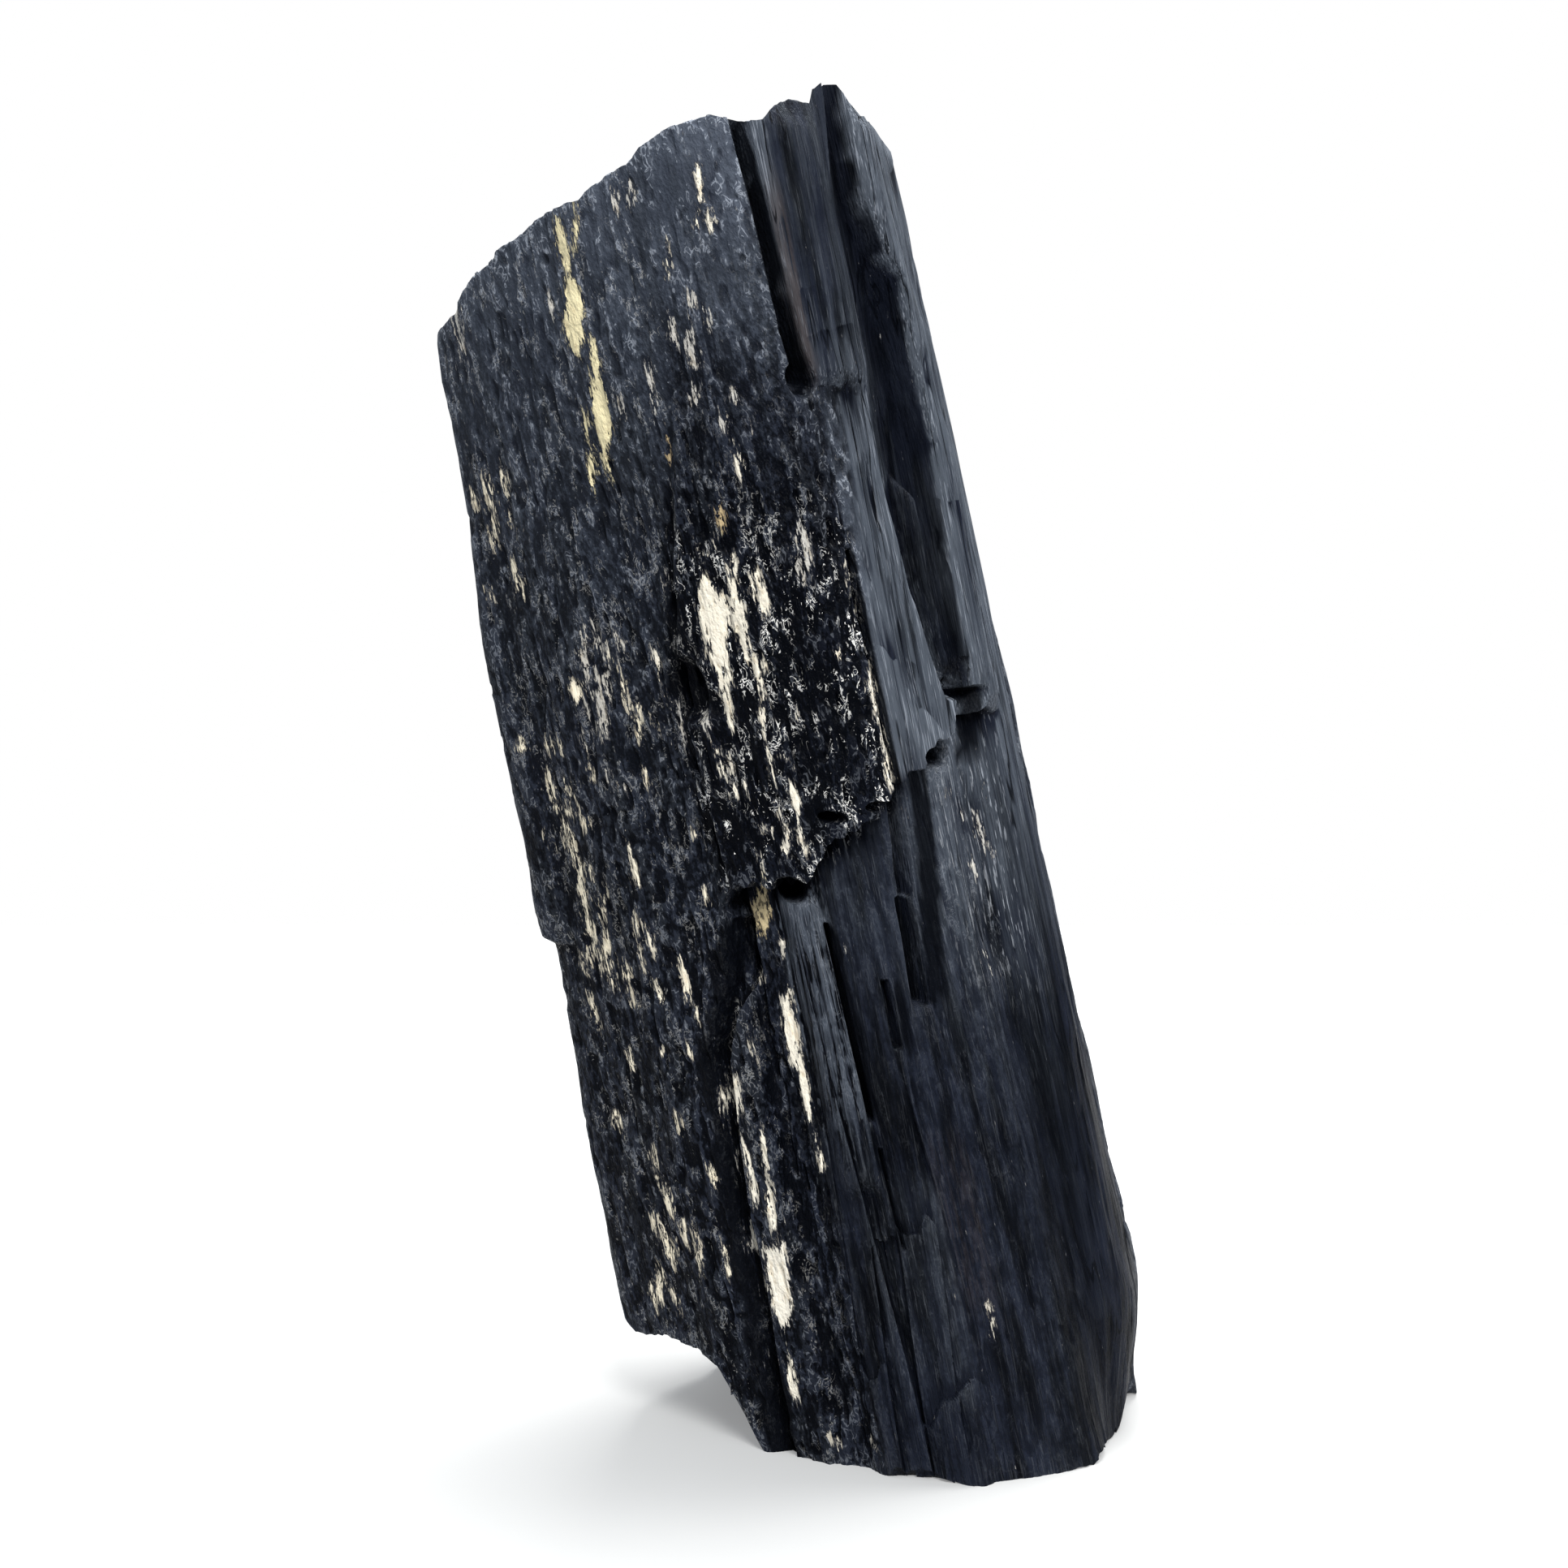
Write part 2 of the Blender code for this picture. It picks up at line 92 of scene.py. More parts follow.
# The wide dark channel of the upper right front: its borders, as (z, p), and its depth, as (z, mm).
CHANNEL_FOOT_Z = 59.8
CHANNEL_LEFT = [
    (60.0, 15.0), (63.2, 14.5), (69.4, 13.8), (79.6, 13.4), (86.0, 14.0), (97.1, 13.9), (106.0, 14.8),
]
CHANNEL_RIGHT = [
    (60.0, 17.0), (63.0, 17.5), (69.1, 17.5), (79.4, 17.9), (86.0, 17.6), (92.0, 17.4), (99.0, 16.4),
    (106.0, 16.3),
]
CHANNEL_DEPTH = [(60.0, 2.8), (84.0, 2.6), (92.0, 2.2), (106.0, 1.8)]

# Long grooves and cracks of the front: route as (z, p), half width, depth.
GROOVES = {
    "upper groove": ([(84.2, 8.9), (86.7, 8.6), (91.0, 8.4), (97.0, 8.3), (106.0, 7.9)], 0.75, 2.6),
    "slab crack": ([(53.5, 9.8), (63.3, 9.8), (71.5, 9.8)], 0.35, 1.3),
    "ledge hole": ([(54.8, 15.6), (57.0, 16.2), (60.4, 17.0)], 1.1, 3.2),
    "lower slot": ([(45.0, 10.6), (49.0, 11.0), (54.5, 11.5)], 0.85, 3.2),
    "foot of the slot": ([(36.8, 9.5), (40.6, 9.9), (44.6, 10.2)], 0.95, 2.4),
    "rib crack": ([(28.0, 2.75), (38.0, 2.65), (42.6, 2.55)], 0.35, 2.2),
    "lens": ([(33.8, 6.5), (38.6, 6.6)], 0.45, 1.2),
    "long slit": ([(18.0, 3.3), (25.3, 3.1)], 0.25, 0.7),
    "left groove": (
        [(0.0, -10.2), (10.7, -9.8), (19.0, -9.7), (25.6, -9.2), (32.0, -8.6), (38.8, -6.2), (42.6, -5.4)],
        0.95, 1.9,
    ),
}

# Raised ridges and ribs of the front: route as (z, p), half width, height.
RIDGES = {
    "right ridge": (
        [(59.0, 18.3), (66.0, 18.2), (77.4, 18.3), (88.6, 17.9), (97.7, 17.2), (104.5, 16.9)], 0.8, 0.9,
    ),
    "channel ridge": ([(61.0, 16.7), (69.3, 16.2), (76.5, 16.6)], 0.3, 1.7),
    "fibrous rib": ([(22.0, 0.6), (36.0, 0.4), (45.6, 0.2)], 2.1, 1.2),
    "upper column": ([(84.0, 11.6), (104.5, 11.6)], 2.6, 0.8),
}

# Pits: centre as (p, z), half width, half height, depth.
PITS = {
    "arch": (-0.1, 45.6, 1.5, 1.2, 2.2),
    "oval": (4.4, 51.5, 1.15, 0.5, 1.6),
    "slot": (8.0, 52.3, 1.0, 0.45, 1.4),
    "three-cornered hole": (13.2, 55.6, 0.8, 0.8, 1.8),
    "slab pit": (-4.9, 60.8, 1.7, 2.8, 1.7),
    "scoop": (8.6, 84.4, 1.1, 1.4, 1.2),
}

# A splinter that stands proud along the left edge and ends in a notch, and the worn right foot.
EDGE_SPLINTER_Z = (38.7, 39.3, 62.0, 76.0)
EDGE_SPLINTER_P = (-18.6, -19.8)
EDGE_SPLINTER_HEIGHT = 0.9
WORN_FOOT_Z, WORN_FOOT_DEPTH = 12.0, 2.6
WORN_FOOT_P = (15.0, 19.5)

# Splinter panels around the whole crystal: count around, length, offset. The broad faces of the
# left, the right and the upper middle of the front are calmer, and so is the rim of the top.
PANELS = [(15, 46.0, 0.8), (34, 27.0, 0.4)]
RIB_COUNT, RIB_HEIGHT = 62, 0.28
CALM = 0.06
CALM_LEFT = (-1.75, -0.35)  # angles
CALM_RIGHT = (0.5, 2.0)
CALM_MIDDLE = (-0.45, 0.6)
CALM_MIDDLE_Z = (20.0, 32.0)
CALM_TOP_Z = (92.0, 100.0)

# ------------ the fine surface

# Points around a ring, rings up the side, and rings over each end.
FULL_LOFT = (1200, 760, 110)
FRONT_DENSITY = 0.45
FULL_TRIANGLES = 194000
SHARP_EDGE = math.radians(38.0)

# Rounds of smoothing for each size of crest, and the height in millimetres that counts as a full one.
CREST_SCALES = [(3, 0.09), (12, 0.25)]

# ------------ the colours of the surface

# Clay and mica flecks of the front. Each group: tint (0 white, 0.6 cream, 1 yellow, 1.3 tan), how
# solid it gets, in millimetres from its edge, and its strips, as top (p, z), foot (p, z), half width.
FLECKS = {
    "yellow seam": (0.95, 1.0, [
        (-7.3, 96.7, -7.3, 92.0, 0.42), (-5.5, 97.6, -6.4, 93.6, 0.22), (-7.1, 92.0, -8.1, 86.4, 0.85),
        (-6.5, 87.4, -6.9, 83.6, 0.4), (-6.8, 84.6, -7.3, 79.4, 0.78), (-8.4, 79.6, -9.3, 75.6, 0.3),
        (-7.4, 79.8, -7.6, 76.4, 0.28), (-8.5, 82.0, -8.6, 79.6, 0.14),
    ]),
    "forked fleck": (0.35, 1.0, [
        (4.4, 100.4, 4.2, 97.4, 0.33), (4.0, 98.0, 3.1, 95.2, 0.2), (4.4, 97.4, 4.5, 95.2, 0.3),
        (1.0, 95.2, 0.4, 92.0, 0.2), (2.9, 79.9, 2.7, 77.0, 0.3),
    ]),
    "upper grey flecks": (0.1, 0.02, [
        (-2.3, 98.8, -2.6, 96.9, 0.3), (-1.0, 99.0, -1.3, 97.4, 0.35), (1.7, 90.9, 1.6, 89.3, 0.4),
        (2.7, 89.6, 2.6, 88.1, 0.2), (0.0, 89.6, -0.2, 86.4, 0.22), (1.3, 88.0, 1.2, 85.4, 0.7),
        (0.8, 84.2, 0.5, 82.3, 0.4), (3.3, 83.8, 3.3, 82.4, 0.25), (2.2, 82.2, 2.3, 80.4, 0.25),
        (4.3, 81.7, 4.2, 80.6, 0.25), (-2.6, 85.9, -2.7, 82.0, 0.2), (-5.3, 83.4, -5.3, 81.3, 0.3),
        (-9.3, 91.0, -9.3, 88.8, 0.2), (-17.4, 90.2, -17.6, 86.4, 0.5), (6.4, 73.5, 6.0, 69.3, 0.65),
        (-4.6, 69.6, -4.7, 68.2, 0.4), (-6.05, 59.8, -6.1, 56.4, 0.3), (-3.8, 59.0, -3.9, 57.9, 0.5),
        (3.4, 41.3, 3.4, 40.5, 0.25),
    ]),
    "tan lozenges": (1.3, 0.15, [
        (-2.3, 80.3, -2.4, 79.5, 0.2), (-2.5, 79.3, -2.5, 78.1, 0.22), (0.6, 75.0, 0.5, 73.0, 0.3),
    ]),
    "left streaks": (0.6, 0.05, [
        (-17.9, 77.2, -17.9, 73.6, 0.53), (-18.2, 73.8, -18.5, 70.6, 0.44), (-16.5, 77.8, -16.4, 75.4, 0.31),
        (-16.6, 73.9, -16.5, 72.0, 0.25), (-19.4, 75.6, -19.4, 74.0, 0.38), (-17.2, 70.1, -17.0, 67.0, 0.45),
        (-19.6, 68.2, -19.8, 66.7, 0.38),
    ]),
    "great fleck": (0.35, 1.0, [
        (-1.7, 69.6, -2.4, 65.3, 0.59), (-0.6, 68.2, -1.7, 63.5, 0.65), (-1.9, 64.8, -2.0, 57.8, 0.37),
        (-1.35, 68.9, -1.95, 62.4, 0.95), (0.35, 69.4, 0.3, 63.2, 0.54), (0.15, 70.8, 0.35, 68.5, 0.15),
        (0.8, 64.2, 0.85, 60.2, 0.32),
        (0.65, 59.8, 0.45, 58.0, 0.32), (0.42, 57.4, 0.42, 53.9, 0.22), (2.7, 70.4, 2.0, 69.0, 0.27),
        (1.9, 69.9, 1.6, 67.8, 0.32), (2.7, 69.0, 2.3, 66.5, 0.43), (0.9, 71.5, 0.7, 69.6, 0.24),
        (-1.9, 72.6, -1.5, 70.7, 0.17), (0.0, 72.8, -1.2, 70.8, 0.19), (1.6, 63.4, 1.4, 62.3, 0.22),
        (-0.2, 61.9, -1.2, 61.3, 0.24), (-1.4, 63.0, -1.3, 61.4, 0.17), (7.2, 64.5, 7.4, 63.4, 0.27),
    ]),
    "slab flecks": (0.3, 1.0, [
        (-3.7, 57.0, -3.5, 53.8, 0.28), (-2.7, 55.9, -2.7, 54.4, 0.18), (-2.8, 53.8, -2.75, 52.5, 0.22),
        (-3.3, 52.6, -3.3, 51.9, 0.2), (-1.9, 54.3, -1.95, 52.7, 0.16), (1.3, 56.6, 2.0, 55.2, 0.2),
        (1.6, 54.1, 1.85, 51.4, 0.36), (0.2, 52.4, 0.7, 49.9, 0.24), (1.6, 51.4, 1.6, 48.4, 0.28),
        (0.3, 49.9, 0.2, 48.5, 0.35), (-1.3, 50.5, -1.3, 49.9, 0.18), (-0.6, 50.5, -0.5, 49.8, 0.2),
        (3.2, 60.0, 3.15, 58.6, 0.13), (-6.95, 63.9, -6.8, 62.0, 0.28), (-2.0, 48.6, -2.0, 46.5, 0.1),
    ]),
    "grey cloud": (0.2, 0.0, [
        (-11.6, 65.6, -11.4, 64.4, 0.57), (-12.4, 64.6, -12.9, 61.6, 0.34), (-11.2, 64.4, -11.1, 63.0, 0.57),
        (-10.4, 63.9, -10.5, 61.7, 0.69), (-9.6, 64.6, -9.6, 63.6, 0.4), (-13.6, 59.4, -13.6, 57.9, 0.29),
        (-12.4, 62.0, -12.6, 59.6, 0.69), (-11.3, 61.4, -11.4, 59.8, 0.57), (-12.6, 57.8, -12.6, 56.2, 0.52),
        (-12.7, 53.8, -12.7, 52.2, 0.4), (-11.6, 52.8, -11.7, 51.9, 0.46), (-14.4, 57.0, -14.3, 55.2, 0.29),
        (-12.0, 60.0, -11.9, 57.6, 0.46),
    ]),
    "cloud's bright specks": (0.6, 1.0, [
        (-14.0, 60.8, -14.1, 59.2, 0.5), (-9.95, 61.6, -10.1, 58.6, 0.22), (-9.2, 59.4, -9.7, 56.2, 0.27),
        (-9.7, 54.2, -9.9, 52.6, 0.27), (-14.3, 54.6, -14.2, 53.0, 0.14), (-8.2, 58.4, -8.2, 57.1, 0.15),
        (-7.0, 61.6, -7.0, 60.0, 0.12), (-10.4, 63.2, -10.4, 62.2, 0.25),
    ]),
    "tan spot": (1.2, 0.3, [
        (-2.0, 46.2, -2.4, 44.4, 0.3), (-2.6, 44.8, -3.0, 42.0, 0.78), (-3.0, 42.4, -3.1, 41.2, 0.16),
        (-3.5, 42.6, -3.6, 41.3, 0.16),
    ]),
    "lower streaks": (0.3, 1.0, [
        (-1.9, 37.9, -2.1, 36.2, 0.16), (-2.3, 37.0, -2.7, 31.4, 0.55), (-2.3, 32.5, -2.5, 27.2, 0.36),
        (-2.2, 26.6, -2.2, 25.9, 0.15), (-2.2, 24.8, -2.2, 23.6, 0.3), (-1.7, 41.7, -1.85, 40.2, 0.16),
        (-3.9, 39.0, -4.1, 37.4, 0.2), (-7.6, 30.6, -8.0, 27.0, 0.36), (-8.9, 29.7, -9.1, 27.5, 0.27),
        (-8.5, 29.2, -8.6, 28.0, 0.3), (-8.9, 27.2, -9.0, 24.9, 0.3), (-8.0, 26.0, -8.1, 20.2, 0.3),
        (-6.4, 27.1, -6.6, 21.8, 0.23), (-6.8, 21.9, -7.1, 18.6, 0.4), (-8.0, 9.0, -8.0, 7.0, 0.2),
        (-8.3, 7.2, -8.2, 4.8, 0.4), (-8.9, 8.0, -8.9, 7.3, 0.15),
    ]),
    "pale foot fleck": (0.25, 1.0, [
        (-7.4, 16.8, -7.9, 10.9, 1.0), (-6.6, 18.4, -6.9, 15.4, 0.22), (-8.1, 17.0, -7.9, 14.0, 0.35),
        (-9.0, 17.9, -8.95, 15.7, 0.27), (-9.3, 11.6, -9.3, 9.6, 0.2),
    ]),
    "greenish lens": (0.3, -0.05, [(-5.8, 33.6, -5.7, 31.2, 0.3)]),
    "left belt": (0.55, 0.06, [
        (-17.9, 51.4, -17.9, 49.4, 0.3), (-17.0, 50.7, -17.0, 49.6, 0.34), (-15.9, 50.7, -15.7, 48.6, 0.38),
        (-17.5, 49.2, -17.3, 46.3, 0.57), (-19.2, 48.2, -19.3, 46.8, 0.41), (-17.2, 46.5, -17.1, 45.0, 0.43),
        (-16.3, 46.0, -16.1, 44.5, 0.36), (-17.2, 44.6, -17.2, 41.9, 0.51), (-17.2, 41.8, -17.2, 39.3, 0.45),
        (-15.8, 43.4, -15.9, 39.2, 0.3), (-16.3, 39.6, -16.3, 36.4, 0.41), (-18.3, 38.6, -18.2, 36.8, 0.54),
        (-17.3, 39.3, -17.4, 37.1, 0.57), (-14.9, 38.5, -14.9, 37.0, 0.49), (-14.8, 36.1, -14.7, 34.9, 0.54),
        (-15.0, 44.4, -15.0, 43.6, 0.24), (-17.4, 55.9, -17.5, 54.6, 0.43), (-16.3, 56.2, -16.4, 54.7, 0.27),
        (-19.9, 56.0, -19.9, 54.0, 0.38), (-18.0, 53.3, -18.1, 50.9, 0.43), (-16.8, 53.2, -16.5, 51.4, 0.35),
        (-18.7, 35.0, -18.5, 32.2, 0.36),
    ]),
    "left face flecks": (0.45, 0.3, [
        (-12.4, 49.4, -12.3, 46.2, 0.16), (-12.2, 46.6, -12.3, 44.7, 0.34), (-13.1, 43.0, -13.4, 38.1, 0.16),
        (-12.5, 42.0, -12.1, 39.4, 0.24), (-12.6, 37.6, -12.4, 35.3, 0.2), (-10.1, 39.6, -10.2, 35.8, 0.34),
        (-9.7, 35.6, -9.8, 34.3, 0.2), (-10.9, 32.8, -10.9, 31.4, 0.3), (-13.3, 32.2, -13.3, 31.1, 0.16),
        (-16.2, 31.3, -16.1, 29.3, 0.3), (-7.0, 45.2, -7.0, 44.0, 0.15), (-6.8, 50.0, -6.8, 48.9, 0.15),
        (-11.5, 17.4, -11.6, 15.4, 0.22), (-11.6, 15.2, -11.5, 13.4, 0.25),
    ]),
    "lower left flecks": (0.5, 0.07, [
        (-14.6, 18.2, -14.6, 15.4, 0.29), (-13.7, 17.8, -13.8, 13.4, 0.32), (-16.4, 16.9, -16.2, 13.6, 0.6),
        (-15.3, 20.3, -15.3, 17.8, 0.5), (-16.9, 17.9, -17.2, 16.2, 0.36), (-15.8, 24.2, -16.0, 19.6, 0.22),
        (-18.5, 25.6, -18.5, 24.1, 0.48), (-18.2, 11.8, -18.5, 9.7, 0.66), (-17.4, 13.6, -17.6, 11.8, 0.32),
        (-16.8, 11.8, -16.6, 9.8, 0.26), (-11.2, 23.0, -11.1, 21.2, 0.36), (-13.2, 27.0, -13.1, 25.0, 0.24),
    ]),
    "crack veins": (0.3, 1.0, [
        (9.3, 63.4, 9.3, 57.9, 0.24), (9.3, 57.0, 9.2, 53.6, 0.25), (9.35, 71.2, 9.3, 68.6, 0.14),
        (9.35, 68.4, 9.3, 66.9, 0.12),
    ]),
    "streaks under the ledge": (0.0, 0.08, [
        (15.2, 51.0, 15.8, 47.6, 0.2), (16.5, 53.0, 16.5, 51.8, 0.2), (14.3, 47.2, 14.4, 45.8, 0.16),
        (13.7, 40.3, 13.9, 38.8, 0.16), (13.6, 53.4, 13.7, 52.2, 0.2), (14.3, 51.5, 14.4, 50.4, 0.16),
        (9.95, 51.7, 9.95, 51.0, 0.14),
    ]),
    "foot specks": (0.3, 0.02, [
        (-6.1, 2.4, -5.6, 1.4, 0.3), (-2.8, 2.6, -2.6, 1.8, 0.2), (8.5, 14.0, 8.4, 10.6, 0.14),
    ]),
}
FLECK_REACH = [(90.5, 5.0), (91.5, -8.0)]  # the flecks lie in front of this q, at each z
FLECK_TAPER = 0.6  # how much narrower a strip is at its ends
FLECK_FULL = 0.5  # millimetres inside a fleck's edge where it counts as full

# The trench left of the fibrous rib, painted black as shade in it: its borders, as (z, p).
TRENCH_LEFT = [
    (5.8, -11.3), (12.0, -11.1), (20.7, -10.8), (26.0, -10.2), (31.0, -10.2), (34.9, -8.9), (38.0, -7.6),
    (40.0, -7.2), (42.0, -6.3), (44.0, -5.0),
]
TRENCH_RIGHT = [
    (6.2, -9.3), (12.5, -9.0), (21.0, -9.1), (27.5, -8.7), (31.0, -8.7), (35.1, -7.1), (38.8, -5.3),
    (40.0, -4.2), (43.4, -3.4), (45.0, -3.0),
]

# Black patches of the slab: centre as (p, z), half width, half height, and how black.
BLACK_PATCHES = [(-4.6, 62.5, 2.0, 4.6, 0.8), (-3.2, 55.0, 1.6, 4.0, 0.6), (5.0, 59.0, 3.6, 7.0, 0.35)]

# How much painted sheen greys the front at each height, as (z, share), with 0 for black: on the left
# face, the slab, the smooth strip right of it, and the plane below the ledge.
HAZE = [
    [(0.0, 0.12), (20.0, 0.12), (45.0, 0.17), (62.0, 0.28), (80.0, 0.5), (95.0, 0.86)],
    [(44.0, 0.0), (66.0, 0.03), (72.0, 0.08), (84.0, 0.24), (92.0, 0.7), (104.0, 0.95)],
    [(54.0, 0.88), (78.0, 0.78), (84.0, 0.46), (90.0, 0.2), (106.0, 0.14)],
    [(0.0, 0.04), (26.0, 0.05), (38.0, 0.22), (44.0, 0.75), (55.0, 0.95), (60.0, 0.95)],
]
HAZE_ON_RIB = 0.75
HAZE_ON_FLANK = 0.78
HAZE_AT_BACK = 0.3
DARKEST_SHADE = 0.92

# Camera: the photograph's viewing angle, in metres and degrees.
CAMERA_PLACE = (-0.000934, -0.24491, 0.0862)
CAMERA_TILT = 82.0
CAMERA_LENS = 70.0
SENSOR_WIDTH = 36.0

# The table top, in metres, and the light around the object. The sky is dim or bright by how far a ray
# goes along one direction. Each light: name, place, side, watts.
PURE_WHITE = (1.0, 1.0, 1.0, 1.0)
FLOOR_HALF_WIDTH, FLOOR_NEAR, FLOOR_FAR = 0.6, -0.10, 0.213
FLOOR_COLOUR = (0.35, 0.35, 0.342, 1.0)
FLOOR_GLOW = 0.22
FLOOR_REFLECTED = (0.3, 0.3, 0.3, 1.0)
SKY_TOWARD = (-0.2, 0.35, 0.8)
SKY_SPAN = (-0.1, 0.9)
SKY_DIM = (0.05, 0.08, 0.15, 1.0)
SKY_BRIGHT = (1.25, 1.32, 1.4, 1.0)
LIGHTS_AIM = (0.0, 0.0, 0.06)
LIGHTS = [
    ("front", (0.10, -0.40, 0.42), 0.20, 3.6),
    ("top", (0.02, 0.16, 0.55), 0.26, 6.2),
    ("right", (0.36, 0.10, 0.42), 0.25, 1.0),
]


# ------------ helpers


def smoothstep(low, high, value):
    """0 at low, 1 at high, smooth between them; low may be the larger one."""
    t = np.clip((value - low) / (high - low), 0.0, 1.0)
    return t * t * (3.0 - 2.0 * t)


def read_off(value, route):
    """The second coordinate of a route of points where the first one is the value."""
    return np.interp(value, [point[0] for point in route], [point[1] for point in route])


def scatter(i, j, k, seed):
    """A repeatable number from 0 to 1 for each cell (i, j, k)."""
    mixed = (
        i.astype(np.int64) * 73856093 + j.astype(np.int64) * 19349663
        + k.astype(np.int64) * 83492791 + seed * 2654435761
    ) & 0xFFFFFFFF
    mixed = ((mixed ^ (mixed >> 15)) * 2246822519) & 0xFFFFFFFF
    mixed = ((mixed ^ (mixed >> 13)) * 3266489917) & 0xFFFFFFFF
    return (mixed ^ (mixed >> 16)) / 4294967295.0


def noise(x, y, z, seed):
    """Smooth noise from -1 to 1 with a wavelength of one unit."""
    cells = [np.floor(value) for value in (x, y, z)]
    weights = [smoothstep(0.0, 1.0, value - cell) for value, cell in zip((x, y, z), cells)]
    total = np.zeros_like(x)
    for corner in range(8):
        bits = [(corner >> axis) & 1 for axis in range(3)]
        weight = np.ones_like(x)
        for bit, part in zip(bits, weights):
            weight = weight * (part if bit else 1.0 - part)
        total += weight * scatter(cells[0] + bits[0], cells[1] + bits[1], cells[2] + bits[2], seed)
    return 2.0 * total - 1.0


def along_grain(p, q, z, width, length, seed):
    """Noise drawn out along the crystal: its wavelength across the grain and along it."""
    return noise(p / width, q / width, z / length, seed)


# ------------ the CAD's surface


def prism_radius(angle, z):
    """Distance from the axis line to the flat prism faces, in the direction of the angle."""
    blend = np.clip(z / SHOULDER_Z, 0.0, 1.05)
    nearly_zero = 1e-9
    ray_p, ray_q = np.sin(angle), -np.cos(angle)
    radius = np.zeros_like(angle)
    corners = list(zip(FOOT_CORNERS, SHOULDER_CORNERS))
    for (foot_a, head_a), (foot_b, head_b) in zip(corners, corners[1:] + corners[:1]):
        a_p, a_q = (foot_a[i] + (head_a[i] - foot_a[i]) * blend for i in range(2))
        b_p, b_q = (foot_b[i] + (head_b[i] - foot_b[i]) * blend for i in range(2))
        facing = (a_p * ray_q - a_q * ray_p >= 0.0) & (ray_p * b_q - ray_q * b_p >= 0.0)
        along = ray_p * (b_q - a_q) - ray_q * (b_p - a_p)
        reach = (a_p * b_q - a_q * b_p) / np.where(np.abs(along) < nearly_zero, nearly_zero, along)
        radius = np.where(facing, reach, radius)
    return radius


def rounded_prism_radius(angle, z):
    """The prism with its corners rounded, as a weighted mean over nearby angles."""
    shares = {-1.0: 0.12, -0.5: 0.23, 0.0: 0.3, 0.5: 0.23, 1.0: 0.12}
    return sum(share * prism_radius(angle + turn * CORNER_ROUNDING, z) for turn, share in shares.items())


def beside(p, z, route):
    """Distance across a route of (z, p) points, and how far past its ends a point lies."""
    return p - read_off(z, route), np.maximum(route[0][0] - z, z - route[-1][0])


def between(low, high, margin, value):
    """1 between the two limits, 0 further outside them than the margin."""
    return smoothstep(low - margin, low, value) * smoothstep(high + margin, high, value)


def chipped_ledge(p):
    """Height of the slab's lower lip, with small chips broken out of it."""
    still = np.zeros_like(p)
    chips = 0.45 * noise(p / 1.5, still, still, 81) + 0.3 * noise(p / 0.6, still, still, 82)
    return read_off(p, LEDGE) + chips


def below_ledge(p, z):
    """1 where the front lies below the slab's lower lip."""
    left, right = LEDGE_ENDS
    ends = smoothstep(left, left + 1.2, p) * smoothstep(right, right - 3.0, p)
    return smoothstep(0.16, -0.16, z - chipped_ledge(p)) * ends


def in_channel(p, z):
    """1 inside the wide channel of the upper right front."""
    left = p - read_off(z, CHANNEL_LEFT)
    right = read_off(z, CHANNEL_RIGHT) - p
    above = smoothstep(CHANNEL_FOOT_Z, CHANNEL_FOOT_Z + 1.0, z)
    return smoothstep(0.0, 0.55, left) * smoothstep(0.0, 0.35, right) * above


def hollows(p, z):
    """Depth of the front's channel, grooves, cracks and pits."""
    depth = read_off(z, CHANNEL_DEPTH) * in_channel(p, z)
    for route, half_width, most in GROOVES.values():
        across, beyond = beside(p, z, route)
        depth += most * smoothstep(1.0, 0.5, np.abs(across) / half_width) * smoothstep(0.4, -0.2, beyond)
    for centre_p, centre_z, half_width, half_height, most in PITS.values():
        out = np.hypot((p - centre_p) / half_width, (z - centre_z) / half_height)
        depth += most * smoothstep(1.05, 0.6, out)
    return depth


def front_relief(p, z):
    """Height of the front's named forms over the prism faces; negative is inwards."""
    step = LEDGE_STEP_AT_GROUND + (LEDGE_STEP - LEDGE_STEP_AT_GROUND) * np.clip(z / 46.0, 0.0, 1.0)
    relief = -step * below_ledge(p, z)

    left_of_slab = smoothstep(0.4, -0.4, p - read_off(z, SLAB_BORDER)) * smoothstep(-15.0, -7.0, p)
    relief -= SLAB_STEP * left_of_slab * smoothstep(84.0, 70.0, z) * smoothstep(26.0, 50.0, z)

    relief -= hollows(p, z)
    for route, half_width, height in RIDGES.values():
        across, beyond = beside(p, z, route)
        crown = np.clip(1.0 - (across / half_width) ** 2, 0.0, 1.0)
        relief += height * crown * smoothstep(0.8, -1.5, beyond)
    return relief


def edge_relief(p, z):
    """The proud splinter of the left edge, and the right side worn back at its foot."""
    low, full, high, gone = EDGE_SPLINTER_Z
    splinter = smoothstep(low, full, z) * smoothstep(gone, high, z) * smoothstep(*EDGE_SPLINTER_P, p)
    worn = smoothstep(WORN_FOOT_Z, 0.0, z) * smoothstep(*WORN_FOOT_P, p)
    return EDGE_SPLINTER_HEIGHT * splinter - WORN_FOOT_DEPTH * worn


def calm_zones(angle, z):
    """1 on the faces that splinter less."""
    middle = between(*CALM_MIDDLE, 0.2, angle) * smoothstep(*CALM_MIDDLE_Z, z)
    sides = np.maximum(between(*CALM_LEFT, 0.2, angle), between(*CALM_RIGHT, 0.2, angle))
    return np.maximum(np.maximum(sides, middle), smoothstep(*CALM_TOP_Z, z))


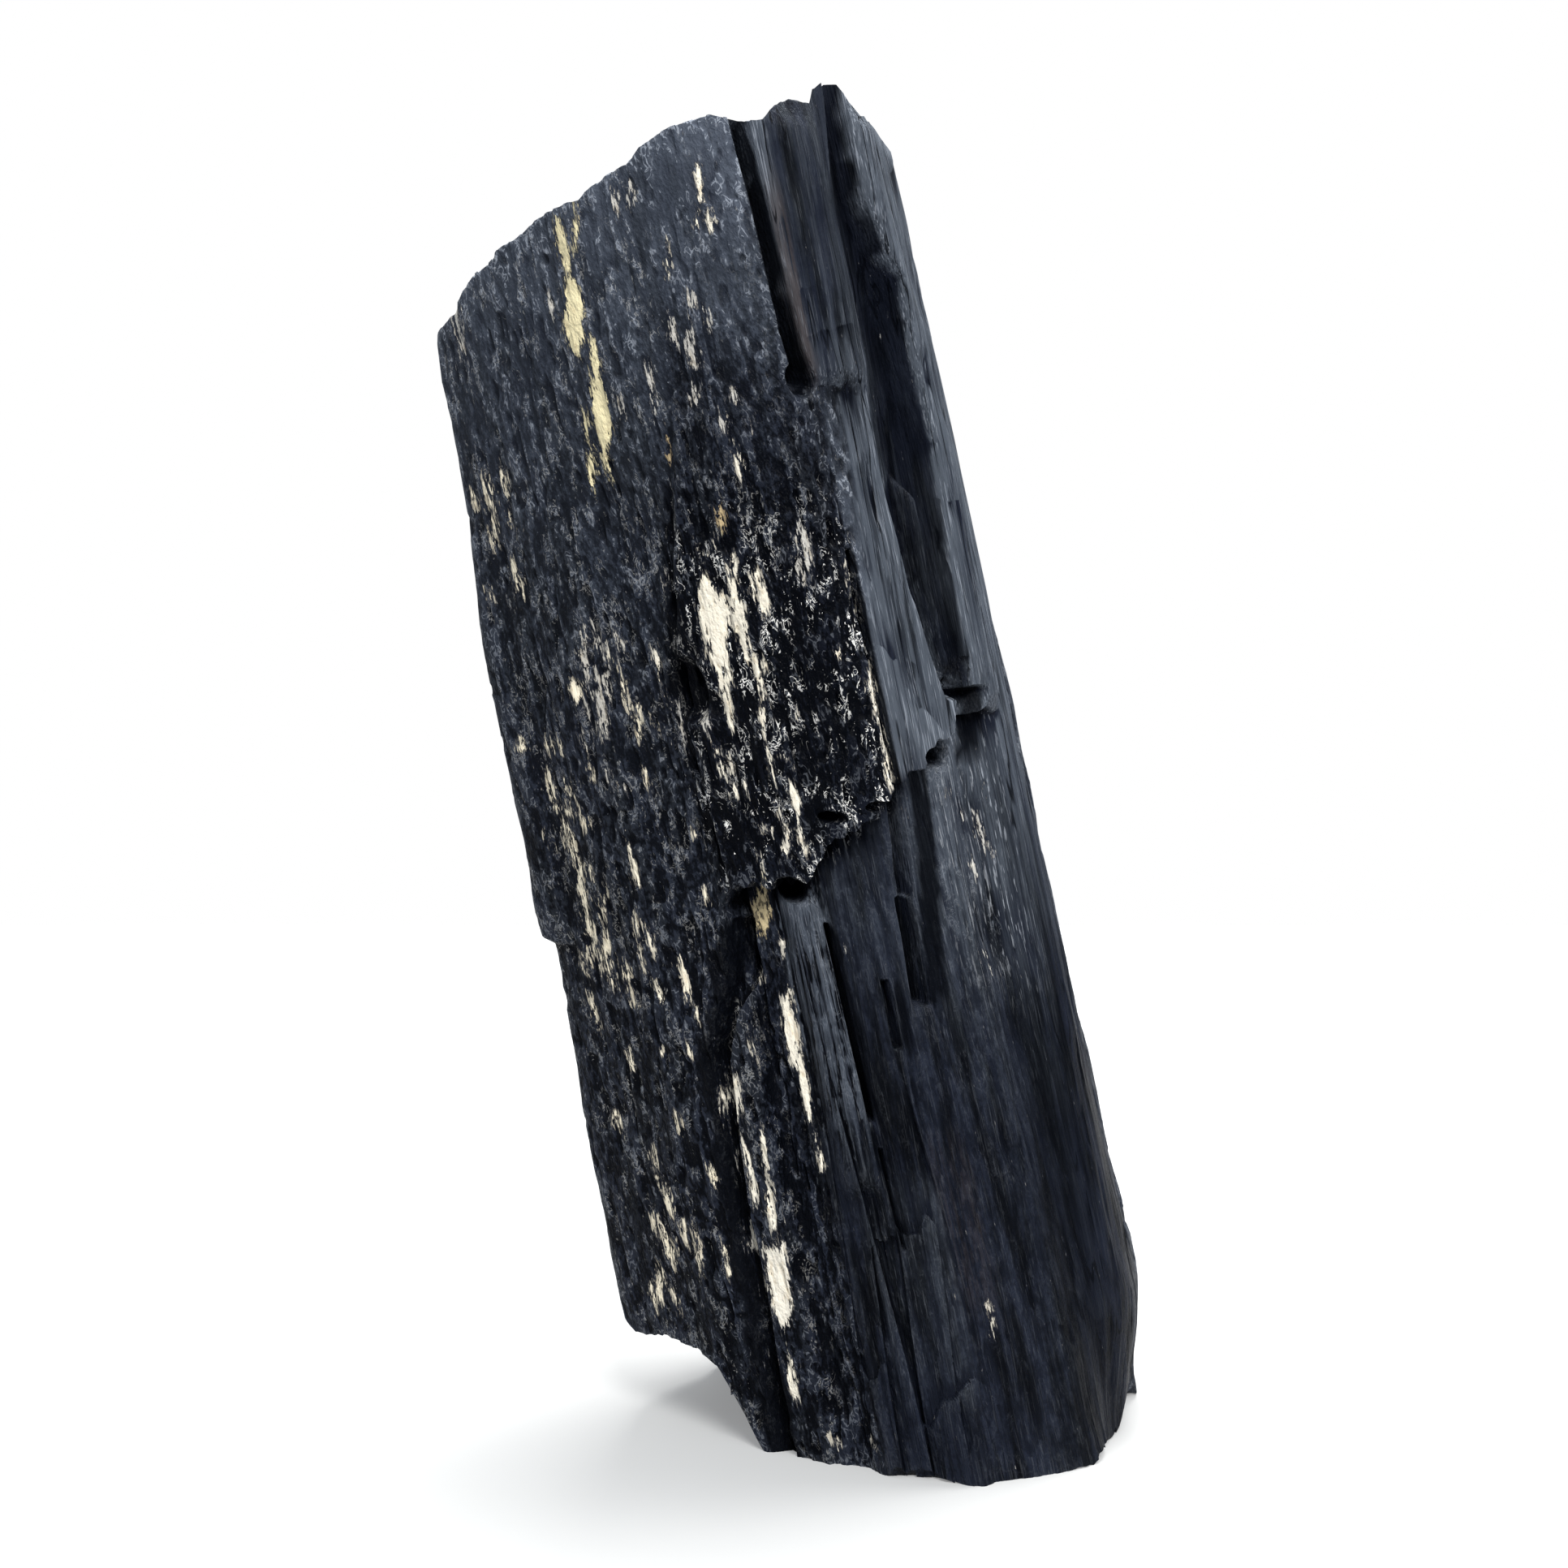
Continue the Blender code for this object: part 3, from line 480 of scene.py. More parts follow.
def splinter_relief(angle, z):
    """Long splinters side by side: each panel lies a little higher or lower than the next."""
    still = np.zeros_like(angle)
    turn = angle / math.tau
    relief = np.zeros_like(angle)
    for level, (count, length, offset) in enumerate(PANELS):
        wander = 0.35 * noise(z / length, still, still + level, 11 + level)
        column = np.floor(turn * count + wander) % count
        shift = 5.0 * scatter(column, still, still, 21 + level)
        ragged = 0.05 * noise(turn * count * 3.0, still, still, 25 + level)
        row = np.floor(z / length + shift + ragged)
        relief += offset * (2.0 * scatter(column, row, still, 31 + level) - 1.0)
    rib = turn * RIB_COUNT + 0.3 * noise(z / 30.0, still, still, 41)
    number = np.floor(rib)
    height = RIB_HEIGHT * (0.3 + 0.7 * scatter(number % RIB_COUNT, still, still, 42))
    relief += height * (1.0 - (2.0 * (rib - number) - 1.0) ** 2)
    return relief * (1.0 - (1.0 - CALM) * calm_zones(angle, z))


# ------------ the fine relief


def granular_share(angle, p, q, z):
    """1 where the surface is granular and pitted, 0 where it is fibrous or smooth."""
    front = smoothstep(5.0, 1.0, q)
    smooth_from = np.where(z > 84.0, 8.5, 9.9 + 1.2 * smoothstep(62.0, 80.0, z))
    above = smoothstep(0.5, -0.5, p - smooth_from)
    below = 0.3 + 0.7 * smoothstep(-1.4, -2.6, p)
    share = above + (below - above) * below_ledge(p, z)
    right_face = smoothstep(14.0, 17.0, p)
    share = share * (1.0 - 0.8 * right_face)
    column = np.floor(angle / math.tau * 11.0 + 0.2 * np.sin(z / 17.0))
    around = 0.15 + 0.8 * scatter(column, column * 0.0, column * 0.0, 91)
    return front * share + (1.0 - front) * around


def granular_relief(p, q, z):
    """Close pits drawn out along the grain, with rough crests between them."""
    broad = along_grain(p, q, z, 2.0, 7.0, 101)
    middle = along_grain(p, q, z, 0.85, 2.6, 102)
    fine = along_grain(p, q, z, 0.48, 1.1, 103)
    pits = smoothstep(0.1, 0.75, middle + 0.5 * fine + 0.2 * broad)
    nicks = smoothstep(0.2, 0.8, fine - 0.3 * middle)
    relief = 0.15 * broad - 0.34 * pits - 0.18 * nicks + 0.08 * fine
    return relief * (1.0 - 0.4 * smoothstep(68.0, 86.0, z))


def fibrous_relief(p, q, z):
    """Striations and fibres, a few of them broken out as long narrow pits."""
    bundles = along_grain(p, q, z, 1.6, 70.0, 111)
    fibres = along_grain(p, q, z, 0.6, 40.0, 112)
    splinters = along_grain(p, q, z, 0.5, 5.0, 114)
    return 0.16 * bundles + 0.13 * fibres - 0.12 * smoothstep(0.35, 0.8, splinters)


def side_radius(angle, z):
    """Distance from the axis line to the crystal's side."""
    angle = (angle + math.pi) % math.tau - math.pi
    prism = rounded_prism_radius(angle, z)
    p, q = prism * np.sin(angle), -prism * np.cos(angle)
    front = smoothstep(3.0, -1.0, q)
    grain = 0.16 * noise(p / 2.1, q / 2.1, z / 4.2, 51) + 0.3 * noise(p / 7.0, q / 7.0, z / 19.0, 52)
    form = prism + front * front_relief(p, z) + edge_relief(p, z) + splinter_relief(angle, z) + grain
    granular = granular_share(angle, p, q, z)
    return form + granular * granular_relief(p, q, z) + (1.0 - granular) * fibrous_relief(p, q, z)


def fibre_ends(p, q, width, seed):
    """Height of broken fibre bundles seen from their end: one level for each cell of a loose grid."""
    best = np.full_like(p, 9.0)
    level = np.zeros_like(p)
    base_p, base_q = np.floor(p / width), np.floor(q / width)
    still = np.zeros_like(p)
    for step_p in (-1.0, 0.0, 1.0):
        for step_q in (-1.0, 0.0, 1.0):
            cell_p, cell_q = base_p + step_p, base_q + step_q
            centre_p = cell_p + scatter(cell_p, cell_q, still, seed)
            centre_q = cell_q + scatter(cell_p, cell_q, still, seed + 1)
            away = np.hypot(p / width - centre_p, q / width - centre_q)
            nearer = away < best
            best = np.where(nearer, away, best)
            level = np.where(nearer, scatter(cell_p, cell_q, still, seed + 2), level)
    return level - 0.5 - 0.5 * best


def top_height(p, q):
    """Height of the broken top over a point of the section."""
    inner = smoothstep(-8.0, 3.0, q) * smoothstep(-19.5, -13.0, p) * smoothstep(19.0, 15.0, p)
    stumps = scatter(np.floor(p / 4.3), np.floor(q / 4.9), p * 0.0, 61) - 0.6
    lumps = 0.8 * noise(p / 4.8, q / 4.8, p * 0.0, 62) + 0.35 * noise(p / 2.6, q / 2.6, p * 0.0, 63)
    form = read_off(p, TOP_RIM) - TOP_FALL_TO_BACK * np.maximum(q + 12.0, 0.0)
    fine = 0.9 * fibre_ends(p, q, 1.9, 64) + 0.45 * fibre_ends(p, q, 0.7, 67)
    return form + inner * (1.3 * stumps + lumps) + fine * (0.25 + 0.75 * inner)


def underside_height(p, q):
    """Height of the broken underside; where it is below the ground it is cut flat."""
    rim = smoothstep(0.76, 0.92, np.hypot(p / 21.5, (q - 3.0) / 18.0))
    ragged = UNDERSIDE_Z + 0.6 + 0.8 * noise(p / 2.9, q / 2.9, p * 0.0, 71)
    front_rim = read_off(p, FOOT_RIM)
    edge_z = ragged + (front_rim - ragged) * smoothstep(8.0, 2.0, q)
    ground = UNDERSIDE_Z + (edge_z - UNDERSIDE_Z) * rim
    lumps = 0.5 * noise(p / 2.3, q / 2.3, p * 0.0, 72)
    shift = read_off(q, OVERHANG_EDGE) - OVERHANG_EDGE[0][1]
    overhang = read_off(p - shift, FOOT_RIM) + lumps * smoothstep(-6.0, 2.0, q)
    height = ground + (overhang - ground) * smoothstep(1.0, -0.5, p - shift - OVERHANG_EDGE[0][1])
    return np.maximum(height + 0.35 * fibre_ends(p, q, 0.9, 74), 0.0)


# ------------ the mesh


def place(p, q, z):
    """Points of the crystal in the part's own frame, in metres."""
    x = AXIS_FOOT_X + AXIS_LEAN_X * z + p
    y = AXIS_FOOT_Y + AXIS_LEAN_Y * z + q
    return np.stack([x, y, z], axis=-1).reshape(-1, 3) * MM


def loft_points(ring_points, side_rings, end_rings):
    """The rings from the middle of the underside, up the sides, to the middle of the top."""
    turn = (np.arange(ring_points) / ring_points - 0.5) * math.tau
    angle = turn - FRONT_DENSITY * np.sin(turn)
    across_p, across_q = np.sin(angle), -np.cos(angle)
    low, high = np.zeros_like(angle), np.full_like(angle, SHOULDER_Z)
    for _ in range(3):
        low_rim, high_rim = side_radius(angle, low), side_radius(angle, high)
        low = underside_height(low_rim * across_p, low_rim * across_q)
        high = top_height(high_rim * across_p, high_rim * across_q)

    share = (np.arange(side_rings + 1) / side_rings)[:, None]
    z = low + (high - low) * share
    radius = side_radius(angle + np.zeros_like(z), z)
    side = place(radius * across_p, radius * across_q, z)

    outward = (np.arange(1, end_rings) / end_rings)[:, None]
    p, q = radius[0] * across_p * outward, radius[0] * across_q * outward
    bottom = place(p, q, underside_height(p, q))
    p, q = radius[-1] * across_p * outward[::-1], radius[-1] * across_q * outward[::-1]
    top = place(p, q, top_height(p, q))

    middle = np.zeros(1)
    nadir = place(middle, middle, underside_height(middle, middle))
    peak = place(middle, middle, top_height(middle, middle))
    return np.concatenate([nadir, bottom, side, top, peak])


def loft_mesh(ring_points, side_rings, end_rings):
    """The closed mesh: quads between neighbouring rings, and a fan of triangles at each end."""
    points = loft_points(ring_points, side_rings, end_rings)
    ring_count = (len(points) - 2) // ring_points
    here = np.arange(ring_points)
    after = (here + 1) % ring_points
    first = 1 + ring_points * np.arange(ring_count - 1)[:, None]
    above = first + ring_points
    quads = np.stack([first + here, first + after, above + after, above + here], axis=-1).reshape(-1, 4)
    nadir, peak, last = 0, len(points) - 1, 1 + ring_points * (ring_count - 1)
    fans = np.concatenate([
        np.stack([np.full_like(here, nadir), 1 + after, 1 + here], axis=-1),
        np.stack([last + here, last + after, np.full_like(here, peak)], axis=-1),
    ])

    mesh = bpy.data.meshes.new(NODE + "_loft")
    mesh.vertices.add(len(points))
    mesh.vertices.foreach_set("co", (points / MM).ravel())
    corners = np.concatenate([quads.ravel(), fans.ravel()])
    sizes = np.concatenate([np.full(len(quads), 4), np.full(len(fans), 3)])
    mesh.loops.add(len(corners))
    mesh.loops.foreach_set("vertex_index", corners)
    mesh.polygons.add(len(sizes))
    mesh.polygons.foreach_set("loop_start", np.concatenate([[0], np.cumsum(sizes)[:-1]]))
    mesh.update(calc_edges=True)
    return mesh, 2 * len(quads) + len(fans)


def add_object(name, data):
    added = bpy.data.objects.new(name, data)
    bpy.context.scene.collection.objects.link(added)
    return added


def crystal_mesh():
    """The loft, thinned to the triangles that its relief needs."""
    mesh, triangles = loft_mesh(*FULL_LOFT)
    wanted = FULL_TRIANGLES
    loft = add_object("loft", mesh)
    thin = loft.modifiers.new("thin", "DECIMATE")
    thin.ratio = wanted / triangles
    evaluated = loft.evaluated_get(bpy.context.evaluated_depsgraph_get())
    thinned = bpy.data.meshes.new_from_object(evaluated)
    bpy.data.objects.remove(loft)
    bpy.data.meshes.remove(mesh)
    thinned.transform(((MM, 0, 0, 0), (0, MM, 0, 0), (0, 0, MM, 0), (0, 0, 0, 1)))
    thinned.name = NODE + "_surface"
    return thinned


# ------------ what the material reads


def crystal_coordinates(mesh):
    """Each point's p, q and z, in millimetres."""
    flat = np.empty(3 * len(mesh.vertices))
    mesh.vertices.foreach_get("co", flat)
    x, y, z = flat.reshape(-1, 3).T / MM
    return x - AXIS_FOOT_X - AXIS_LEAN_X * z, y - AXIS_FOOT_Y - AXIS_LEAN_Y * z, z


def fleck_depth(p, q, z):
    """How far inside a fleck a point lies, in millimetres, negative outside, and the tint there."""
    depth = np.full_like(p, -1.0)
    tint = np.zeros_like(p)
    for group_tint, solid, strips in FLECKS.values():
        for top_p, top_z, foot_p, foot_z, half_width in strips:
            share = np.clip((top_z - z) / (top_z - foot_z), 0.0, 1.0)
            across = p - top_p - (foot_p - top_p) * share
            beyond = np.maximum(np.maximum(z - top_z, foot_z - z), 0.0)
            width = half_width * (1.0 - FLECK_TAPER * (2.0 * share - 1.0) ** 2)
            inside = np.minimum(width - np.hypot(across, beyond), solid)
            tint = np.where(inside > depth, group_tint, tint)
            depth = np.maximum(depth, inside)
    return np.where(q < read_off(z, FLECK_REACH), depth, -1.0), tint


def painted_sheen(p, q, z):
    """Painted sheen, from 0, black, to 1: most on the upper, left and right faces."""
    front = smoothstep(6.0, 2.0, q)
    below = below_ledge(p, z)
    left, slab, strip, plane = (read_off(z, route) for route in HAZE)
    plane = plane * (0.25 + 0.75 * smoothstep(8.5, 12.0, p))
    plane = plane + 0.16 * between(0.5, 6.0, 1.0, p) * between(9.0, 21.0, 4.0, z)
    rib = between(-1.6, 2.1, 0.3, p) * smoothstep(20.0, 36.0, z)
    under = np.maximum(plane, HAZE_ON_RIB * rib)
    under = np.maximum(under, 0.07 * smoothstep(0.0, -3.0, p))

    share = left + (slab - left) * smoothstep(-0.8, 0.8, p - read_off(z, SLAB_BORDER))
    share = share + (strip - share) * smoothstep(9.5, 10.1, p) * smoothstep(54.0, 56.0, z)
    share = share + (under - share) * below
    # Painted sheen on the right flank, a painted highlight along the ridge right of the channel, and painted
    # shade inside the channel.
    past = p - read_off(z, CHANNEL_RIGHT)
    flank = smoothstep(-0.2, 0.4, past) * smoothstep(35.0, 62.0, z)
    share = share + (HAZE_ON_FLANK - share) * flank
    share = share + 0.7 * between(0.1, 0.5, 0.2, past) * smoothstep(60.0, 66.0, z)
    share = share * (1.0 - 0.85 * in_channel(p, z))
    return front * share + (1.0 - front) * HAZE_AT_BACK


def zones(p, q, z):
    """The share of each kind of surface at each point, and of painted sheen and painted shade."""
    front = smoothstep(6.0, 2.0, q)
    below = below_ledge(p, z) * front
    on_slab = smoothstep(-0.8, 0.0, p - read_off(z, SLAB_BORDER)) * smoothstep(10.0, 9.6, p)
    on_slab = on_slab * (1.0 - below) * front * smoothstep(43.0, 45.0, z)
    left = smoothstep(0.5, -0.5, p - read_off(z, SLAB_BORDER)) * front
    depth, tint = fleck_depth(p, q, z)
    column = front * between(9.2, 9.9, 0.4, p) * smoothstep(83.0, 86.0, z) * smoothstep(102.0, 96.0, z)
    granular = granular_share(np.arctan2(p, -q), p, q, z)
    low_slab = smoothstep(80.0, 66.0, z)
    streak = between(15.0, 25.0, 3.0, z) * between(6.8, 8.8, 1.0, p)
    crusted = np.clip(0.04 + 0.86 * on_slab * low_slab + 0.12 * left, 0.0, 1.0)
    plane = below * smoothstep(33.0, 44.0, z) * smoothstep(11.0, 12.5, p)
    ticked = front * 0.4 * plane
    ragged = 0.6 * along_grain(p, q, z, 1.0, 2.4, 92)
    trench = smoothstep(-0.5, 0.0, p + ragged - read_off(z, TRENCH_LEFT))
    trench = trench * smoothstep(-0.4, 0.0, read_off(z, TRENCH_RIGHT) - p - ragged)
    trench = trench * smoothstep(43.0, 40.5, z)
    # Painted shade: in the grooves, cracks and pits, weaker in the channel, and in the trench left of the
    # rib. The black patches and the lower right below the ledge are darkened with it.
    hollow = np.clip(hollows(p, z) / 0.9, 0.0, 1.0) * (1.0 - 0.6 * in_channel(p, z))
    patch = 0.6 * below * smoothstep(11.0, 17.0, p) * smoothstep(36.0, 24.0, z)
    wander = 0.5 * along_grain(p, q, z, 1.4, 2.6, 91)
    for centre_p, centre_z, half_width, half_height, most in BLACK_PATCHES:
        out = np.hypot((p - centre_p) / half_width, (z - centre_z) / half_height) + wander
        patch = np.maximum(patch, most * smoothstep(1.2, 0.5, out))
    return {
        "fleck": 0.5 + 0.5 * np.clip(depth / FLECK_FULL, -1.0, 1.0),
        "tint": tint / 2.0,
        "granular": granular,
        "specks": granular * crusted + (1.0 - granular) * ticked,
        "painted_sheen": painted_sheen(p, q, z),
        "shade": DARKEST_SHADE * front * np.maximum(np.maximum(hollow, trench), patch),
        "brown": 0.45 * column + 0.12 * below * streak,
        "striped": front * below * between(-1.8, 2.3, 0.4, p) * smoothstep(18.0, 30.0, z),
    }


def crests(mesh):
    """How far each point stands out of its neighbourhood: 0.5 on a flat, more on a crest, less in a pit."""
    count = len(mesh.vertices)
    points = np.empty(3 * count)
    mesh.vertices.foreach_get("co", points)
    points = points.reshape(-1, 3) / MM
    normals = np.empty(3 * count)
    mesh.vertices.foreach_get("normal", normals)
    ends = np.empty(2 * len(mesh.edges), np.int64)
    mesh.edges.foreach_get("vertices", ends)
    ends = np.concatenate([ends.reshape(-1, 2), ends.reshape(-1, 2)[:, ::-1]])
    sharing = np.bincount(ends[:, 0], minlength=count)[:, None]

    smooth = points
    standing = 0.0
    for passes, full_height in CREST_SCALES:
        for _ in range(passes):
            around = [np.bincount(ends[:, 0], smooth[ends[:, 1], axis], count) for axis in range(3)]
            smooth = 0.5 * smooth + 0.5 * np.stack(around, axis=1) / sharing
        height = ((points - smooth) * normals.reshape(-1, 3)).sum(axis=1)
        standing = standing + np.clip(height / full_height, -1.0, 1.0) / len(CREST_SCALES)
    return 0.5 + 0.5 * standing


def store(mesh, values):
    """Keep each zone on the mesh, under its own name."""
    for name, value in values.items():
        layer = mesh.attributes.new(name, "FLOAT", "POINT")
        layer.data.foreach_set("value", value.astype(np.float32))


# ------------ the material


class Graph:
    """The node tree of a material or a world, with short calls for the nodes used here."""

    def __init__(self, owner):
        owner.use_nodes = True
        self.tree = owner.node_tree

    def add(self, kind, **settings):
        node = self.tree.nodes.new("ShaderNode" + kind)
        for name, value in settings.items():
            setattr(node, name, value)
        return node

    def link(self, value, socket):
        if isinstance(value, bpy.types.NodeSocket):
            self.tree.links.new(value, socket)
        else:
            socket.default_value = value

    def link_all(self, values, sockets):
        for value, socket in zip(values, sockets):
            self.link(value, socket)

    def math(self, operation, *values, clamp=False):
        node = self.add("Math", operation=operation, use_clamp=clamp)
        self.link_all(values, node.inputs)
        return node.outputs[0]

    def times(self, first, second, clamp=False):
        return self.math("MULTIPLY", first, second, clamp=clamp)

    def scaled(self, value, factor, offset, clamp=False):
        return self.math("MULTIPLY_ADD", value, factor, offset, clamp=clamp)

    def most(self, first, second):
        return self.math("MAXIMUM", first, second)

    def from_middle(self, value):
        return self.math("ABSOLUTE", self.math("SUBTRACT", value, 0.5))

    def attribute(self, name):
        return self.add("Attribute", attribute_name=name).outputs["Fac"]

    def ramp(self, value, low, high):
        """0 below low, 1 above high, smooth between; low may be the larger one."""
        node = self.add("MapRange", interpolation_type="SMOOTHSTEP")
        turned = isinstance(low, float) and isinstance(high, float) and low > high
        limits = (high, low) if turned else (low, high)
        results = (1.0, 0.0) if turned else (0.0, 1.0)
        self.link_all((value, *limits, *results), node.inputs)
        return node.outputs[0]

    def mix(self, share, first, second):
        """A colour between the two, by share."""
        node = self.add("Mix", data_type="RGBA")
        self.link_all((share, first, second), (node.inputs[0], *node.inputs[6:8]))
        return node.outputs[2]

    def blend(self, share, first, second):
        """A number between the two, by share."""
        node = self.add("Mix")
        self.link_all((share, first, second), (node.inputs[0], *node.inputs[2:4]))
        return node.outputs[0]

    def grain_space(self):
        """The object's coordinates with the crystal's lean taken out, in metres."""
        split, join = self.add("SeparateXYZ"), self.add("CombineXYZ")
        self.link(self.add("TexCoord").outputs["Object"], split.inputs[0])
        x, y, height = split.outputs
        upright = self.scaled(height, -AXIS_LEAN_X, x), self.scaled(height, -AXIS_LEAN_Y, y), height
        self.link_all(upright, join.inputs)
        return join.outputs[0]

    def noise(self, space, width, length, detail=2.0, rough=0.6, distortion=0.0):
        """Noise from 0 to 1, its wavelength given in millimetres across the grain and along it."""
        stretch = self.add("VectorMath", operation="MULTIPLY")
        across = 1.0 / (width * MM)
        self.link_all((space, (across, across, 1.0 / (length * MM))), stretch.inputs)
        node = self.add("TexNoise")
        settings = {
            "Vector": stretch.outputs[0], "Scale": 1.0, "Detail": detail, "Roughness": rough,
            "Distortion": distortion,
        }
        for name, value in settings.items():
            self.link(value, node.inputs[name])
        return node.outputs["Fac"]


BLACK = (0.0108, 0.0134, 0.0222, 1.0)
# Near black, also the colour of painted shade.
PITCH = (0.0014, 0.0018, 0.0030, 1.0)
# The painted sheen where granular and where fibrous, and the colour of painted glints.
GREY = (0.074, 0.086, 0.108, 1.0)
FIBRE_SHEEN = (0.072, 0.083, 0.099, 1.0)
GLINT = (0.56, 0.60, 0.66, 1.0)
BROWN = (0.070, 0.048, 0.036, 1.0)
SPECK = (0.86, 0.84, 0.78, 1.0)
WHITE = (0.82, 0.78, 0.69, 1.0)
CREAM = (0.86, 0.77, 0.58, 1.0)
YELLOW = (0.80, 0.70, 0.42, 1.0)
TAN = (0.50, 0.38, 0.21, 1.0)
IOR = 1.6
SPECULAR_LEVEL = 0.025
BUMP_HEIGHT = 0.0004  # metres


def schorl_material():
    """Coloured by the zones kept on the mesh, and by noise drawn out along the crystal; painted shade,
    sheen and glints are part of the colour.
    """
    material = bpy.data.materials.new("schorl")
    g = Graph(material)
    shader = g.tree.nodes["Principled BSDF"]
    space = g.grain_space()
    granular = g.attribute("granular")
    crest = g.math("SUBTRACT", g.attribute("crest"), 0.5)
    grey = g.attribute("painted_sheen")
    density = g.attribute("specks")

    blotches = g.noise(space, 3.2, 8.0, detail=3.0, rough=0.55)
    lumps = g.noise(space, 0.8, 1.8)
    grit = g.noise(space, 0.28, 0.45, rough=0.65)
    strands = g.noise(space, 0.26, 26.0, detail=3.0)
    hairs = g.noise(space, 0.10, 7.0)
    clouds = g.ramp(blotches, 0.34, 0.62)

    # The dark body, greyed by the painted sheen. Where it is granular: black pits and grey crests, painted
    # shade and light that partly follow the relief. Where it is fibrous: grey threads, darker in their
    # hollows.
    grain = g.math("ADD", g.times(lumps, 0.5), g.times(grit, 0.5))
    grain = g.ramp(g.scaled(crest, 0.4, grain), 0.36, 0.70)
    grained = g.scaled(grain, 0.42, 0.72)
    grained = g.times(grained, g.scaled(clouds, 0.38, 0.7))
    grained = g.times(grained, g.scaled(g.ramp(crest, -0.32, -0.04), 0.45, 0.55))
    lines = g.math("ADD", g.times(strands, 0.65), g.times(hairs, 0.35))
    threads = g.ramp(g.scaled(crest, 0.35, lines), 0.42, 0.58)
    stripes = g.noise(space, 0.42, 14.0, detail=3.0, rough=0.7)
    stripes = g.ramp(g.scaled(crest, 0.35, stripes), 0.42, 0.54)
    striped = g.times(g.attribute("striped"), g.math("SUBTRACT", 1.0, stripes))
    streaks = g.ramp(g.noise(space, 1.3, 22.0, detail=3.0), 0.36, 0.62)
    threaded = g.scaled(threads, 0.85, 0.42)
    threaded = g.times(threaded, g.blend(grey, g.scaled(streaks, 1.4, 0.3), 0.9))
    threaded = g.times(threaded, g.ramp(crest, -0.35, -0.08))
    threaded = g.times(threaded, g.math("SUBTRACT", 1.0, striped))
    pattern = g.blend(granular, threaded, grained)
    tone = g.mix(granular, FIBRE_SHEEN, GREY)
    depths = g.ramp(g.noise(space, 1.5, 12.0, detail=3.0), 0.36, 0.62)
    seam = g.from_middle(g.noise(space, 1.9, 34.0, rough=0.5))
    seam = g.times(g.ramp(seam, 0.016, 0.004), g.ramp(blotches, 0.44, 0.52))
    seam = g.times(seam, g.scaled(granular, -0.9, 0.9))
    body = g.mix(g.times(grey, pattern, clamp=True), g.mix(depths, PITCH, BLACK), tone)
    body = g.mix(g.times(g.attribute("brown"), threads), body, BROWN)
    pits = g.times(g.ramp(grain, 0.7, 0.1), g.scaled(grey, -1.1, 1.0))
    pits = g.times(g.scaled(granular, 0.8, 0.2), pits)
    pits = g.scaled(density, 0.6, pits, clamp=True)
    body = g.mix(g.most(g.most(pits, striped), seam), body, PITCH)

    # Painted glints in the base colour: wavering lines on crests and sparks where it is granular, dashes
    # along the fibres.
    waver = g.noise(space, 0.6, 0.95, detail=1.5, distortion=1.0)
    waver = g.ramp(g.from_middle(waver), 0.05, 0.012)
    broken = g.ramp(g.scaled(crest, 0.5, lumps), 0.56, 0.64)
    sparks = g.most(g.times(waver, broken), g.ramp(grit, 0.70, 0.75))
    dashes = g.noise(space, 0.12, 4.0)
    dashes = g.ramp(g.scaled(crest, 0.15, dashes), 0.58, 0.72)
    strength = g.scaled(grey, 0.26, g.scaled(granular, 0.09, 0.01))
    glints = g.times(g.blend(granular, dashes, sparks), strength)
    body = g.mix(glints, body, GLINT)

    # Pale crust on the slab: a broken network of wavering lines, and specks in clusters. Where it is fibrous,
    # the same share paints glints as short ticks, on the plane below the ledge.
    clusters = g.ramp(g.noise(space, 1.7, 3.0, rough=0.5), 0.38, 0.60)
    network = g.noise(space, 0.7, 1.0, detail=2.5, distortion=1.4)
    network = g.ramp(g.from_middle(network), 0.036, 0.012)
    network = g.times(network, g.ramp(lumps, 0.46, 0.56))
    dots = g.noise(space, 0.24, 0.6, distortion=0.8)
    bar = g.scaled(clusters, -0.06, 0.73)
    dots = g.ramp(dots, bar, g.math("ADD", bar, 0.05))
    crust = g.times(network, g.scaled(clusters, 0.65, 0.1))
    ticks = g.noise(space, 0.20, 2.2)
    ticks = g.ramp(ticks, 0.60, 0.66)
    crust = g.blend(granular, ticks, g.ramp(g.most(crust, dots), 0.18, 0.62))
    crust = g.times(crust, density)
    body = g.mix(crust, body, g.mix(granular, GLINT, SPECK))
    # Painted shade: near black in the hollows and the trench, and on the darker patches.
    body = g.mix(g.attribute("shade"), body, PITCH)

